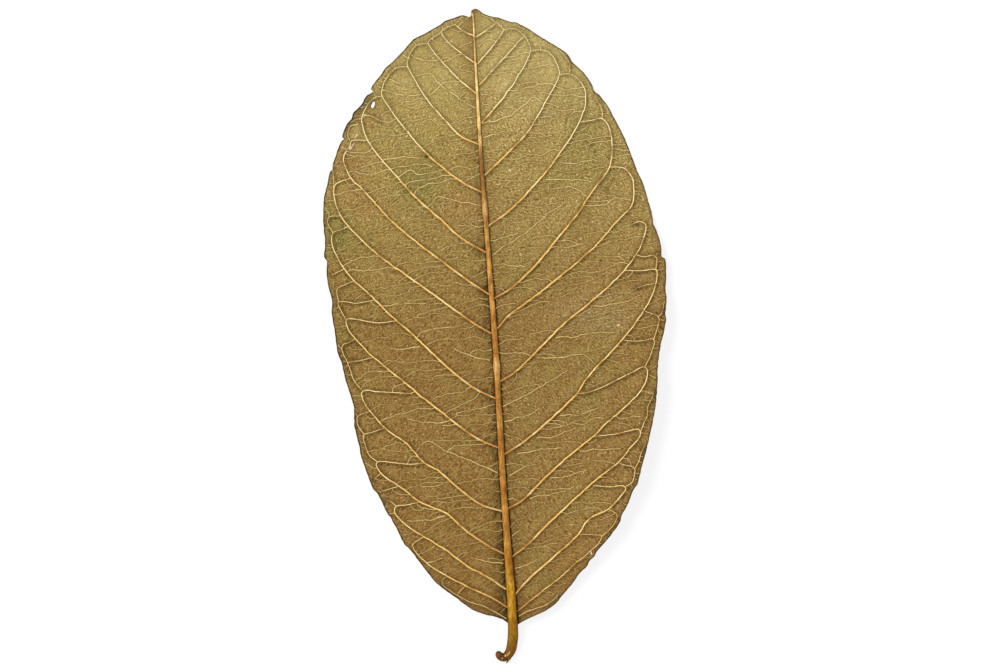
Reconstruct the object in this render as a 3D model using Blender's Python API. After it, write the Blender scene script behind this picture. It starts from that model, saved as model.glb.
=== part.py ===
"""A dried guava leaf, lying with its underside up.

The blade, its raised veins and its stalk grew as one thing, so they are one closed solid.
The blade is drawn flat in millimetres, x to the right of the midrib and y from the foot of
the blade to its tip. It is split into triangles there, and each corner is then lifted by the
leaf's own curl, once for the upper skin and once for the lower one, so both skins have the
same triangles and never cross. The finished leaf is in metres, centred over the origin, and
stands on the plane z = 0.
"""

import math

import bmesh
import bpy
from mathutils import Matrix, Vector
from mathutils.geometry import delaunay_2d_cdt
from mathutils.kdtree import KDTree

MM = 0.001

# Driving sizes, in mm.
BLADE_LENGTH = 125.0
BLADE_HALF_WIDTH = 35.0
SHEET = 0.6
SIDE_VEIN_RELIEF = (0.56, 0.38)
ARCH_RELIEF = 0.34
NET_RELIEF = 0.3
GROOVE_SHARE = 0.4
QUILT_DEPTH = 0.3
QUILT_REACH = 2.4
QUILT_STEP = 0.7
LEAST_HEIGHT = 0.03
MARGIN_WAVE = 0.32

# How far apart the points of the flat plan lie, in mm.
OUTLINE_STEP = 2.1
MIDRIB_STEP = 2.6
VEIN_STEP = 3.0
NET_STEP = 2.5
NET_SPACING = 2.5
NET_LEAN = 0.55
NET_RISE = 0.12
NET_BEND = (0.45, 0.4)
FILL_SPACING = 2.1
VEIN_FOOT = 0.7
FOOT_PLACES = (0.25, 0.75)

# How close a new point may come to what is already in the plan, in mm.
CREST_CLEARANCE = 0.8
FOOT_CLEARANCE = 0.55
NET_CLEARANCE = 1.0
FILL_CLEARANCE = 1.05
CELL = 2.0
LINE_MARKS = (0.2, 0.4, 0.6, 0.8)

# How far apart two neighbours on a vein may be and still be joined, and how far a vein's end
# may be from the crest that it runs into, in mm.
JOIN_REACH = 5.4
TOUCH_REACH = 2.2

# The leaf touches the table at two seats on the blade, and under the stalk.
SEATS = [(-29.8, 57.5), (28.4, 92.6)]
SEAT_RADIUS = 1.5
SEAT_FADE = 5.0
SEAT_SIDES = 6

# Heights of the sheet's middle above the table, as (y, height).
RIDGE_HEIGHT = [
    (-2, 1.75), (10, 3.4), (25, 5.2), (45, 6.6), (65, 6.4), (85, 5.0), (105, 3.2),
    (118, 2.1), (126, 1.7),
]
LEFT_RIM_HEIGHT = [
    (-2, 1.8), (15, 1.5), (35, 0.3), (57.5, -0.8), (80, 0.1), (100, 0.9), (115, 1.3), (126, 1.7),
]
RIGHT_RIM_HEIGHT = [
    (-2, 1.9), (10, 3.4), (20, 4.8), (35, 5.4), (50, 4.8), (70, 2.6), (85, 0.3), (92.6, -0.4),
    (105, 0.3), (118, 1.2), (126, 1.7),
]
RIM_REACH = 1.12
ARCH_POWER = 1.45
RIGHT_TROUGH = 0.9
TROUGH_LENGTH = 90.0
SOFT_LANDING = 0.5

# The blade's plain outline, as the powers of an oval, and the waves of its margin.
OVAL_POWERS = (2.2, 0.65)
LEAST_HALF_WIDTH = 2.0
LONG_WAVE = 15.5
SHORT_WAVE = 8.7
SHORT_WAVE_SHARE = 0.6
LEFT_WAVE_SHIFT = 0.6
RIGHT_WAVE_SHIFT = 2.4
WAVE_FADE_POWER = 6

# The midrib's centre line and its width, as (x, y, width).
MIDRIB = [
    (-0.05, 0, 2.0), (-0.2, 10, 1.6), (-0.25, 25, 1.35), (-0.1, 40, 1.25), (0.0, 55, 1.2),
    (-0.2, 70, 1.05), (-0.38, 85, 0.95), (-0.5, 100, 0.75), (-0.45, 110, 0.6), (-0.2, 123, 0.45),
]
MIDRIB_RELIEF_SHARE = 0.55
MIDRIB_GROOVE = 0.3
# Its crest, shoulder and foot: the share of the width out from the middle, and of the relief.
MIDRIB_SECTION = [(0.0, 1.0), (0.42, 0.72), (0.5, 0.0)]
MIDRIB_FILLET = 0.45
MIDRIB_START = 0.5
ROOT_SHARE = 0.75

# The stalk's centre line below the blade's foot, as (x, y, height, radius).
STALK = [
    (-0.12, 3.2, 3.3, 0.45), (-0.05, 1.0, 2.95, 0.8), (-0.06, -1.0, 2.35, 1.0),
    (-0.2, -3.5, 1.5, 1.06), (-0.75, -5.9, 1.0, 1.04), (-1.55, -7.0, 0.93, 0.96),
    (-2.35, -7.42, 0.96, 0.82), (-3.2, -7.1, 1.1, 0.76),
]
STALK_SIDES = 12
STALK_STEP = 0.8
STALK_KNOB_LEANS = (0.55, 1.05, 1.4)

# The finish.
LEAF_COLOUR = (0.32, 0.2, 0.065)
LEAF_ROUGHNESS = 0.75

# The cut of the margin, from the stalk up the right side to the tip.
RIGHT_EDGE = [
    (0.97, -0.9), (2.0, -0.3), (4.0, 0.5), (6.6, 1.5), (8.8, 2.8), (10.4, 4.5), (12.4, 6.5),
    (14.4, 8.95), (15.95, 10.3), (16.2, 11.0), (17.5, 12.15), (18.2, 13.3), (19.6, 14.6),
    (21.4, 16.6), (23.1, 18.7), (23.5, 20.0), (25.0, 22.4), (26.3, 25.2), (27.2, 26.5),
    (28.3, 29.8), (29.6, 33.7), (30.7, 37.4), (31.8, 41.5), (32.5, 46.1), (32.9, 50.1),
    (33.6, 53.7), (34.6, 57.0), (35.2, 59.7), (35.2, 61.1), (35.6, 64.05), (35.5, 65.2),
    (35.9, 69.4), (35.8, 72.0), (35.15, 72.4), (35.2, 74.0), (34.5, 77.85), (33.9, 79.25),
    (33.8, 81.2), (33.0, 85.0), (32.2, 88.2), (31.4, 90.1), (30.4, 93.4), (29.1, 97.4),
    (27.3, 101.5), (26.1, 104.1), (24.5, 106.4), (23.6, 107.3), (23.1, 108.7), (21.6, 111.2),
    (19.6, 113.3), (18.75, 114.9), (17.5, 116.1), (15.05, 117.8), (12.2, 119.8), (9.7, 121.6),
    (8.4, 122.3), (7.4, 122.4), (5.1, 123.4), (2.4, 124.2), (1.5, 124.8), (0.5, 125.6),
]

# The cut of the margin, from the tip down the left side to the stalk.
LEFT_EDGE = [
    (-0.4, 125.2), (-0.6, 124.2), (-1.0, 124.0), (-2.1, 124.4), (-5.6, 123.6), (-7.6, 122.5),
    (-10.7, 121.0), (-12.4, 120.35), (-13.7, 119.3), (-15.0, 117.9), (-17.55, 115.6),
    (-18.8, 114.7), (-19.6, 113.6), (-21.25, 111.8), (-22.1, 110.5), (-21.7, 110.0),
    (-23.2, 109.1), (-24.4, 107.3), (-26.1, 105.8), (-26.35, 104.9), (-27.4, 103.8),
    (-28.65, 101.1), (-28.2, 100.8), (-28.8, 100.3), (-29.9, 98.0), (-31.1, 94.9),
    (-30.9, 94.6), (-31.5, 94.3), (-32.35, 91.4), (-33.2, 88.6), (-33.6, 84.0), (-33.5, 79.6),
    (-33.85, 76.8), (-33.35, 75.8), (-33.6, 73.9), (-33.4, 70.7), (-32.85, 67.6), (-33.05, 65.5),
    (-32.65, 60.6), (-32.3, 56.6), (-31.7, 55.0), (-31.2, 51.7), (-30.05, 47.1), (-29.75, 45.5),
    (-29.9, 41.7), (-29.3, 38.4), (-28.9, 35.3), (-27.75, 31.4), (-26.9, 28.7), (-26.1, 27.7),
    (-24.9, 25.0), (-24.4, 23.7), (-23.7, 22.7), (-22.5, 20.1), (-21.1, 16.85), (-20.2, 15.95),
    (-18.3, 13.1), (-16.25, 10.0), (-15.0, 8.5), (-13.5, 7.1), (-11.1, 5.15), (-9.6, 3.9),
    (-8.1, 2.7), (-6.2, 1.75), (-4.0, 1.1), (-2.0, 0.34), (-1.15, -0.4),
]

# Side veins from the foot to the tip. Each is drawn from the midrib outwards, and then the arch
# that carries it along the margin to the next vein above it.
LEFT_VEINS = [
    ([(-1.3, 0.5), (-5.2, 3.0), (-9.0, 4.6), (-12.4, 6.9)],
     [(-13.9, 8.2), (-14.0, 8.9), (-13.2, 9.8)]),
    ([(-1.1, 2.9), (-4.0, 5.0), (-9.3, 7.8), (-14.9, 11.3), (-18.0, 14.1)],
     [(-19.5, 16.7), (-18.3, 17.7), (-17.0, 18.3)]),
    ([(-1.1, 6.6), (-4.5, 9.2), (-8.5, 11.7), (-12.8, 15.4), (-17.0, 18.3), (-20.0, 20.4),
      (-22.3, 22.9)],
     [(-22.8, 23.9), (-22.3, 24.9), (-20.5, 25.0), (-17.4, 25.5)]),
    ([(-1.1, 13.9), (-4.2, 15.8), (-8.8, 19.4), (-12.0, 22.7), (-17.4, 25.5), (-20.3, 28.0),
      (-24.6, 31.4), (-25.8, 33.1)],
     [(-25.6, 34.2), (-21.5, 33.7), (-18.5, 33.3), (-16.1, 33.4)]),
    ([(-1.1, 22.7), (-5.0, 24.2), (-9.0, 27.5), (-13.2, 31.6), (-16.1, 33.5), (-19.4, 37.6),
      (-23.2, 40.6), (-26.4, 44.6), (-27.8, 47.4)],
     [(-27.7, 48.9), (-25.0, 48.6), (-21.5, 48.2), (-18.0, 47.8), (-17.0, 48.1)]),
    ([(-1.1, 35.8), (-5.0, 37.8), (-10.0, 41.9), (-14.2, 45.7), (-17.0, 48.2), (-20.2, 51.2),
      (-25.1, 55.6), (-28.1, 59.1), (-29.7, 61.3), (-30.1, 63.6)],
     [(-28.6, 63.7), (-23.8, 62.6), (-20.0, 62.8)]),
    ([(-0.9, 45.8), (-4.5, 47.8), (-7.5, 50.2), (-11.4, 54.0), (-16.5, 59.6), (-20.2, 63.2),
      (-25.4, 69.0), (-28.1, 71.6), (-30.4, 75.0), (-31.9, 78.5)],
     [(-32.1, 80.0), (-31.7, 81.6), (-29.9, 82.2), (-28.5, 82.7)]),
    ([(-0.9, 59.1), (-4.4, 61.5), (-11.0, 66.9), (-16.5, 71.4), (-22.0, 75.8), (-26.5, 80.4),
      (-29.5, 84.2), (-30.9, 88.0)],
     [(-31.0, 90.6), (-30.3, 91.7), (-27.3, 92.6)]),
    ([(-0.7, 67.0), (-4.8, 70.1), (-9.8, 74.4), (-15.4, 79.2), (-20.2, 84.0), (-24.9, 89.9),
      (-27.3, 92.6), (-28.6, 96.0)],
     [(-28.4, 97.4), (-27.0, 99.3), (-26.8, 100.2), (-23.7, 100.1)]),
    ([(-0.8, 75.6), (-5.4, 78.7), (-9.8, 83.2), (-14.4, 87.8), (-17.8, 92.1), (-21.8, 97.3),
      (-23.6, 100.6), (-24.4, 104.3)],
     [(-23.5, 106.6), (-21.5, 108.7), (-19.9, 108.9)]),
    ([(-1.0, 88.0), (-4.6, 90.2), (-10.2, 95.1), (-13.6, 99.2), (-16.6, 103.4), (-19.9, 109.0)],
     [(-19.8, 110.3), (-19.2, 111.8), (-17.0, 114.3), (-14.3, 114.7)]),
    ([(-0.9, 97.8), (-4.1, 99.5), (-7.1, 102.8), (-11.0, 108.0), (-12.5, 110.9), (-14.2, 114.5)],
     [(-14.1, 116.2), (-12.3, 118.8), (-9.8, 119.1)]),
    ([(-0.6, 108.1), (-3.8, 111.2), (-7.3, 115.3), (-9.8, 119.1)],
     [(-9.3, 119.8), (-6.95, 121.2)]),
    ([(-0.7, 114.6), (-3.6, 117.0), (-5.9, 119.4), (-6.9, 121.2)],
     [(-6.0, 122.0), (-4.0, 122.6)]),
]
RIGHT_VEINS = [
    ([(1.0, 1.8), (5.0, 4.7), (9.6, 7.8), (13.9, 11.2), (17.9, 14.2)],
     [(19.2, 16.1), (18.0, 16.5), (14.7, 16.8)]),
    ([(0.85, 5.4), (3.5, 8.1), (8.5, 12.0), (14.2, 16.6), (16.8, 19.8), (20.9, 21.6),
      (23.5, 24.0)],
     [(24.6, 25.9), (21.5, 26.1), (18.2, 26.6)]),
    ([(0.75, 13.2), (4.0, 15.4), (9.0, 19.9), (14.8, 24.6), (18.0, 27.2), (23.7, 31.2),
      (26.0, 33.6), (27.9, 35.4)],
     [(28.4, 36.6), (28.1, 37.5), (23.5, 36.9), (19.1, 36.6)]),
    ([(0.6, 23.1), (3.6, 24.6), (8.6, 29.0), (14.0, 33.3), (18.9, 36.7), (21.0, 38.7),
      (25.8, 42.3), (29.4, 45.8), (30.6, 48.3)],
     [(30.2, 50.1), (27.5, 49.2), (22.5, 47.1), (18.5, 45.7), (16.2, 45.6)]),
    ([(0.5, 34.2), (4.6, 36.5), (9.0, 39.7), (15.9, 45.5), (18.6, 49.0), (25.0, 55.0),
      (29.2, 59.6), (32.3, 64.0), (33.7, 67.3)],
     [(34.0, 69.0), (33.8, 69.9), (31.0, 69.8), (27.4, 70.1)]),
    ([(0.75, 49.2), (3.6, 50.7), (8.1, 54.5), (14.3, 60.0), (20.7, 64.6), (25.8, 68.6),
      (30.1, 73.4), (31.8, 76.7)],
     [(32.3, 79.2), (31.0, 79.9), (27.0, 80.6)]),
    ([(0.75, 60.0), (3.2, 62.4), (9.4, 66.4), (15.2, 70.5), (21.8, 75.5), (26.3, 80.1),
      (29.9, 83.6), (30.4, 87.6)],
     [(30.2, 89.0), (28.7, 91.0), (25.8, 91.5)]),
    ([(0.5, 66.1), (3.8, 67.8), (9.2, 72.2), (14.3, 77.7), (18.3, 82.0), (22.2, 87.1),
      (25.7, 91.5), (26.5, 95.7), (26.1, 99.7)],
     [(24.8, 101.5), (23.0, 101.3), (20.4, 101.0)]),
    ([(0.45, 81.1), (5.0, 84.0), (9.8, 88.4), (14.8, 93.7), (18.6, 98.7), (21.2, 103.4),
      (21.7, 107.3)],
     [(20.4, 109.9), (18.7, 111.0), (16.6, 111.0)]),
    ([(0.1, 91.3), (5.0, 95.5), (9.8, 100.1), (13.6, 105.8), (16.6, 110.9)],
     [(16.1, 113.8), (14.9, 115.6), (12.8, 116.4), (11.1, 116.1)]),
    ([(0.05, 102.0), (4.7, 106.8), (8.6, 111.8), (11.1, 116.2)],
     [(10.7, 118.1), (10.0, 119.4), (8.0, 121.0), (6.0, 120.8)]),
    ([(0.1, 109.8), (4.9, 114.5), (8.9, 118.4)],
     [(9.9, 119.2)]),
    ([(0.1, 114.2), (2.8, 117.1), (6.0, 120.9)],
     [(5.6, 121.4), (4.3, 122.6)]),
]

# Smaller veins that stand out: the outer loops along the margin, and the slim veins that run
# from the midrib between two side veins.
OUTER_LOOPS = [
    [(-25.6, 34.2), (-27.3, 35.8), (-28.1, 39.0), (-28.0, 40.0), (-26.2, 40.3), (-23.8, 41.0)],
    [(-28.0, 40.0), (-29.0, 41.5), (-29.0, 43.9), (-26.5, 44.6)],
    [(-27.7, 48.9), (-29.5, 51.3), (-30.4, 54.8), (-27.7, 55.2), (-25.1, 55.6)],
    [(-30.1, 63.6), (-31.3, 66.0), (-31.5, 67.5), (-28.0, 66.9), (-24.2, 67.3)],
    [(-31.5, 67.5), (-31.7, 69.0), (-31.6, 70.2), (-30.0, 70.9), (-28.0, 71.5)],
    [(19.2, 16.1), (21.3, 17.8), (22.7, 20.0), (20.9, 21.6)],
    [(24.6, 25.9), (26.2, 27.0), (26.8, 29.5), (25.8, 30.1), (23.8, 30.8)],
    [(28.4, 36.6), (29.2, 38.6), (30.3, 42.0), (31.6, 45.2)],
    [(30.2, 50.1), (31.6, 52.6), (32.4, 55.6), (30.5, 55.5), (26.3, 55.9)],
    [(32.4, 55.6), (33.3, 58.0), (33.6, 60.2), (30.9, 61.6)],
    [(33.8, 69.9), (33.9, 72.5), (31.5, 72.7), (29.9, 73.2)],
]
SLIM_VEINS = [
    [(-0.9, 105.2), (-3.2, 106.6), (-7.9, 110.3), (-9.7, 113.0), (-12.8, 112.5)],
    [(-1.1, 85.2), (-6.5, 86.6), (-9.8, 87.6), (-12.0, 85.5)],
    [(-1.2, 30.5), (-6.2, 33.1), (-11.5, 35.6), (-14.5, 37.7), (-17.5, 35.8)],
    [(-1.3, 53.5), (-5.8, 54.9), (-9.0, 56.6)],
    [(0.65, 74.9), (2.8, 76.4), (7.8, 79.1), (12.8, 82.9), (16.1, 85.5)],
    [(0.75, 43.9), (6.0, 46.1), (10.8, 48.5), (14.5, 50.5)],
    [(0.1, 101.9), (4.0, 102.6), (9.0, 105.2), (11.0, 106.6), (13.0, 105.3)],
]


def clear_scene():
    for thing in list(bpy.data.objects):
        bpy.data.objects.remove(thing, do_unlink=True)


def curve_through(points, step):
    """Points about one step apart along a smooth curve that passes through the given ones."""
    knots = [Vector(p) for p in points]
    if len(knots) == 2:
        pieces = max(1, round((knots[1] - knots[0]).length / step))
        return [knots[0].lerp(knots[1], i / pieces) for i in range(pieces + 1)]
    knots = [2 * knots[0] - knots[1]] + knots + [2 * knots[-1] - knots[-2]]
    curve = []
    for before, start, end, after in zip(knots, knots[1:], knots[2:], knots[3:]):
        span = (end - start).length
        pieces = max(1, round(span / step))
        leave = (end - before).normalized() * span
        arrive = (after - start).normalized() * span
        for i in range(pieces):
            t = i / pieces
            curve.append(
                start * (2 * t**3 - 3 * t**2 + 1)
                + leave * (t**3 - 2 * t**2 + t)
                + end * (3 * t**2 - 2 * t**3)
                + arrive * (t**3 - t**2)
            )
    return curve + [knots[-2]]


def value_at(stations, y):
    """The value at y on a smooth line through (y, value) stations."""
    low = max(0, min(len(stations) - 2, sum(1 for s in stations if s[0] <= y) - 1))
    (y0, v0), (y1, v1) = stations[low], stations[low + 1]
    before = stations[max(0, low - 1)]
    after = stations[min(len(stations) - 1, low + 2)]
    leave = (v1 - before[1]) / (y1 - before[0]) * (y1 - y0)
    arrive = (after[1] - v0) / (after[0] - y0) * (y1 - y0)
    t = max(0.0, min(1.0, (y - y0) / (y1 - y0)))
    return (
        v0 * (2 * t**3 - 3 * t**2 + 1)
        + leave * (t**3 - 2 * t**2 + t)
        + v1 * (3 * t**2 - 2 * t**3)
        + arrive * (t**3 - t**2)
    )


def half_width(y):
    """The blade's half width at y, without its waves and nicks."""
    along = min(1.0, abs(2 * y / BLADE_LENGTH - 1))
    return max(LEAST_HALF_WIDTH, BLADE_HALF_WIDTH * (1 - along ** OVAL_POWERS[0]) ** OVAL_POWERS[1])


def sheet_height(x, y):
    """The height of the sheet's middle over the table, before quilting and seats."""
    out = min(RIM_REACH, abs(x) / half_width(y))
    ridge = value_at(RIDGE_HEIGHT, y)
    rim = value_at(LEFT_RIM_HEIGHT if x < 0 else RIGHT_RIM_HEIGHT, y)
    height = ridge + (rim - ridge) * out**ARCH_POWER
    if x > 0:
        along = max(0.0, min(1.0, y / TROUGH_LENGTH))
        height -= RIGHT_TROUGH * math.sin(math.pi * min(out, 1.0)) * math.sin(math.pi * along)
    shift = LEFT_WAVE_SHIFT if x < 0 else RIGHT_WAVE_SHIFT
    wave = math.sin(2 * math.pi * y / LONG_WAVE + shift)
    wave += SHORT_WAVE_SHARE * math.sin(2 * math.pi * y / SHORT_WAVE)
    ends = math.sqrt(math.sin(math.pi * max(0.0, min(1.0, y / BLADE_LENGTH))))
    lift = height + MARGIN_WAVE * wave * ends * out**WAVE_FADE_POWER - SHEET / 2
    return SHEET / 2 + (lift + math.hypot(lift, SOFT_LANDING)) / 2


def seated(height, x, y):
    """The height once the sheet is eased down to lie flat on the table at each seat."""
    for seat in SEATS:
        away = math.dist(seat, (x, y)) - SEAT_RADIUS
        ease = max(0.0, min(1.0, away / SEAT_FADE))
        ease = ease * ease * (3 - 2 * ease)
        height = SHEET / 2 + (height - SHEET / 2) * ease
    return height


class Plan:
    """The flat plan of the blade: points, what each one carries, and the lines between them."""

    def __init__(self):
        self.points = []
        self.relief = []
        self.groove = []
        self.lines = []
        self.cells = {}

    def mark(self, point):
        """Notes a place that later points keep clear of."""
        self.cells.setdefault((point.x // CELL, point.y // CELL), []).append(point)

    def crowded(self, point, clearance):
        column, row = point.x // CELL, point.y // CELL
        for i in (-1, 0, 1):
            for j in (-1, 0, 1):
                for other in self.cells.get((column + i, row + j), ()):
                    if (other - point).length < clearance:
                        return True
        return False

    def add(self, point, relief=0.0, groove=0.0):
        """Adds a point and returns its number."""
        self.points.append(Vector((point.x, point.y)))
        self.relief.append(relief)
        self.groove.append(groove)
        self.mark(self.points[-1])
        return len(self.points) - 1

    def join(self, a, b):
        self.lines.append((a, b))
        for place in LINE_MARKS:
            self.mark(self.points[a].lerp(self.points[b], place))

    def nearest(self, point, numbers):
        return min(numbers, key=lambda n: (self.points[n] - point).length)

    def touched(self, point, numbers):
        """The crest that a vein's end runs into, if one is near enough."""
        number = self.nearest(point, numbers)
        near = (self.points[number] - point).length < TOUCH_REACH
        return number if near else None

    def add_vein(self, spots, relief, clearance, start=None, end=None):
        """Adds the crest of a vein between two points already there, and returns its numbers."""
        chain = [] if start is None else [start]
        for spot, high in zip(spots, relief):
            if not self.crowded(spot, clearance):
                chain.append(self.add(spot, high, GROOVE_SHARE * high))
        if end is not None:
            chain.append(end)
        for a, b in zip(chain, chain[1:]):
            if (self.points[a] - self.points[b]).length < JOIN_REACH:
                self.join(a, b)
        return chain


def inside(point, outline):
    """Whether a point lies within the outline, by counting the sides that it looks across."""
    within = False
    for a, b in zip(outline, outline[1:] + outline[:1]):
        if (a.y > point.y) != (b.y > point.y):
            if point.x < (b.x - a.x) * (point.y - a.y) / (b.y - a.y) + a.x:
                within = not within
    return within


def add_outline(plan):
    """The closed margin: a smooth line through its corners."""
    corners = RIGHT_EDGE + LEFT_EDGE
    numbers = [plan.add(spot) for spot in curve_through(corners + corners[:1], OUTLINE_STEP)[:-1]]
    for a, b in zip(numbers, numbers[1:] + numbers[:1]):
        plan.join(a, b)
    return numbers


def add_seats(plan):
    """A centre and a ring of points for each seat, all of them flat underneath."""
    for seat in SEATS:
        centre = Vector(seat)
        plan.add(centre)
        for i in range(SEAT_SIDES):
            turn = 2 * math.pi * i / SEAT_SIDES
            plan.add(centre + SEAT_RADIUS * Vector((math.cos(turn), math.sin(turn))))


def add_midrib(plan):
    """Five rows along the midrib: a foot, a shoulder, the crest, a shoulder and a foot. Returns
    the numbers of the two outer rows."""
    rows = []
    for row in range(-2, 3):
        across, share = MIDRIB_SECTION[abs(row)]
        numbers = []
        for x, y, width in curve_through(MIDRIB, MIDRIB_STEP):
            out = across * width + (MIDRIB_FILLET if abs(row) == 2 else 0.0)
            spot = Vector((x + math.copysign(out, row), max(y, MIDRIB_START)))
            relief = MIDRIB_RELIEF_SHARE * width * share
            numbers.append(plan.add(spot, relief, MIDRIB_GROOVE * share))
        for a, b in zip(numbers, numbers[1:]):
            plan.join(a, b)
        rows.append(numbers)
    return rows[0], rows[-1]


def add_side_veins(plan, veins, midrib_feet):
    """The side veins of one half of the blade, and then their arches. Returns the numbers of
    each crest, arch and all, with the count of those before its arch."""
    high, low = SIDE_VEIN_RELIEF
    runs = [curve_through(vein + arch, VEIN_STEP) for vein, arch in veins]
    lengths = [len(curve_through(vein, VEIN_STEP)) for vein, _ in veins]
    crests = []
    for run, length in zip(runs, lengths):
        root = plan.nearest(run[0], midrib_feet)
        width = value_at([(station[1], station[2]) for station in MIDRIB], run[0].y)
        plan.relief[root] = min(high, ROOT_SHARE * MIDRIB_RELIEF_SHARE * width)
        rise = plan.relief[root] - low
        relief = [low + rise * (1 - i / length) for i in range(1, length)]
        crests.append(plan.add_vein(run[1:length], relief, CREST_CLEARANCE, root))
    counts = [len(crest) for crest in crests]
    for i, (run, length) in enumerate(zip(runs, lengths)):
        end = plan.touched(run[-1], crests[i + 1]) if i + 1 < len(crests) else None
        relief = [ARCH_RELIEF] * (len(run) - length)
        crests[i] += plan.add_vein(run[length:], relief, CREST_CLEARANCE, crests[i][-1], end)[1:]
    return crests, counts


def add_small_veins(plan, crests):
    """The outer loops and the slim veins, each joined to the crests that its ends run into."""
    for small in OUTER_LOOPS + SLIM_VEINS:
        run = curve_through(small, NET_STEP)
        start = plan.touched(run[0], crests)
        end = plan.touched(run[-1], crests)
        crests += plan.add_vein(run[1:-1], [ARCH_RELIEF] * len(run), CREST_CLEARANCE, start, end)


def add_cross_veins(plan, lower, count, upper, midrib_feet, side):
    """The net between two side veins. Each cross vein leaves the upper vein, or the midrib below
    it, nearly level, and bends to meet the lower vein squarely and further out."""
    foot, head = midrib_feet.index(lower[0]), midrib_feet.index(upper[0])
    last = plan.points[lower[0]]
    for start in midrib_feet[foot + 1:head] + upper:
        leaves_from = plan.points[start]
        if (leaves_from - last).length < NET_SPACING:
            continue
        near = lower.index(plan.nearest(leaves_from, lower[:count]))
        gap = (plan.points[lower[near]] - leaves_from).length
        far = near + round(NET_LEAN * gap / VEIN_STEP)
        if far == 0 or far > min(count, len(lower) - 2):
            continue
        meets = plan.points[lower[far]]
        along = (plan.points[lower[far + 1]] - plan.points[lower[far - 1]]).normalized()
        reach = (meets - leaves_from).length
        leave = leaves_from + Vector((side, NET_RISE)) * reach * NET_BEND[0]
        arrive = meets - Vector((along.y, -along.x)) * side * reach * NET_BEND[1]
        pieces = max(2, round(reach / NET_STEP))
        spots = []
        for i in range(1, pieces):
            t = i / pieces
            spots.append(
                leaves_from * (1 - t) ** 3 + leave * 3 * t * (1 - t) ** 2
                + arrive * 3 * t**2 * (1 - t) + meets * t**3
            )
        if not any(plan.crowded(spot, NET_CLEARANCE) for spot in spots):
            plan.add_vein(spots, [NET_RELIEF] * pieces, NET_CLEARANCE, start, lower[far])
            last = leaves_from


def add_feet(plan):
    """Points on each side of every raised vein, where it runs out into the blade."""
    for a, b in list(plan.lines):
        if min(plan.relief[a], plan.relief[b]) < ARCH_RELIEF:
            continue
        ahead = plan.points[b] - plan.points[a]
        across = Vector((-ahead.y, ahead.x)).normalized() * VEIN_FOOT
        for side in (across, -across):
            for place in FOOT_PLACES:
                spot = plan.points[a] + ahead * place + side
                if not plan.crowded(spot, FOOT_CLEARANCE):
                    plan.add(spot)


def add_fill(plan, outline):
    """Evenly spaced points over whatever is still bare."""
    row_gap = FILL_SPACING * math.sqrt(3) / 2
    columns = int(BLADE_HALF_WIDTH / FILL_SPACING) + 2
    for row in range(int(BLADE_LENGTH / row_gap) + 2):
        shift = FILL_SPACING / 2 * (row % 2)
        for column in range(-columns, columns + 1):
            spot = Vector((column * FILL_SPACING + shift, row * row_gap))
            if inside(spot, outline) and not plan.crowded(spot, FILL_CLEARANCE):
                plan.add(spot)


def main_vein_points():
    """Closely spaced points all along the midrib, the side veins and their arches."""
    points = [Vector((x, y)) for x, y, _ in curve_through(MIDRIB, QUILT_STEP)]
    for vein, arch in LEFT_VEINS + RIGHT_VEINS:
        points += curve_through(vein + arch, QUILT_STEP)
    return points


def flat_plan():
    """The whole plan, and the numbers of its margin's points."""
    plan = Plan()
    margin = add_outline(plan)
    add_seats(plan)
    left_feet, right_feet = add_midrib(plan)
    left, left_counts = add_side_veins(plan, LEFT_VEINS, left_feet)
    right, right_counts = add_side_veins(plan, RIGHT_VEINS, right_feet)
    add_small_veins(plan, sum(left + right, left_feet + right_feet))
    for lower, count, upper in zip(left, left_counts, left[1:]):
        add_cross_veins(plan, lower, count, upper, left_feet, -1)
    for lower, count, upper in zip(right, right_counts, right[1:]):
        add_cross_veins(plan, lower, count, upper, right_feet, 1)
    add_feet(plan)
    add_fill(plan, [plan.points[i] for i in margin])
    return plan, margin


def blade_mesh():
    """Both skins of the blade from one flat plan, joined round the margin."""
    plan, margin = flat_plan()
    main_points = main_vein_points()
    near_vein = KDTree(len(main_points))
    for i, point in enumerate(main_points):
        near_vein.insert((point.x, point.y, 0.0), i)
    near_vein.balance()
    flat, _, faces, origins, _, _ = delaunay_2d_cdt(plan.points, plan.lines, [margin], 1, 1e-5)
    upper, lower = [], []
    for point, origin in zip(flat, origins):
        relief = plan.relief[origin[0]] if origin else NET_RELIEF
        groove = plan.groove[origin[0]] if origin else GROOVE_SHARE * NET_RELIEF
        away = near_vein.find((point.x, point.y, 0.0))[2]
        height = sheet_height(point.x, point.y)
        height -= QUILT_DEPTH * (1 - math.exp(-((away / QUILT_REACH) ** 2)))
        height = seated(max(height, SHEET / 2 + LEAST_HEIGHT), point.x, point.y)
        if min(math.dist(seat, point) for seat in SEATS) < SEAT_RADIUS + 0.02:
            groove = 0.0
        upper.append((point.x, point.y, height + SHEET / 2 + relief))
        lower.append((point.x, point.y, height - SHEET / 2 + groove))
    count = len(flat)
    skin = list(faces) + [[count + i for i in reversed(face)] for face in faces]
    directed = {(f[i], f[(i + 1) % 3]) for f in faces for i in range(3)}
    for a, b in directed:
        if (b, a) not in directed:
            skin += [[a, count + a, count + b], [a, count + b, b]]
    mesh = bpy.data.meshes.new("blade")
    mesh.from_pydata(upper + lower, [], skin)
    return mesh


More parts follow.
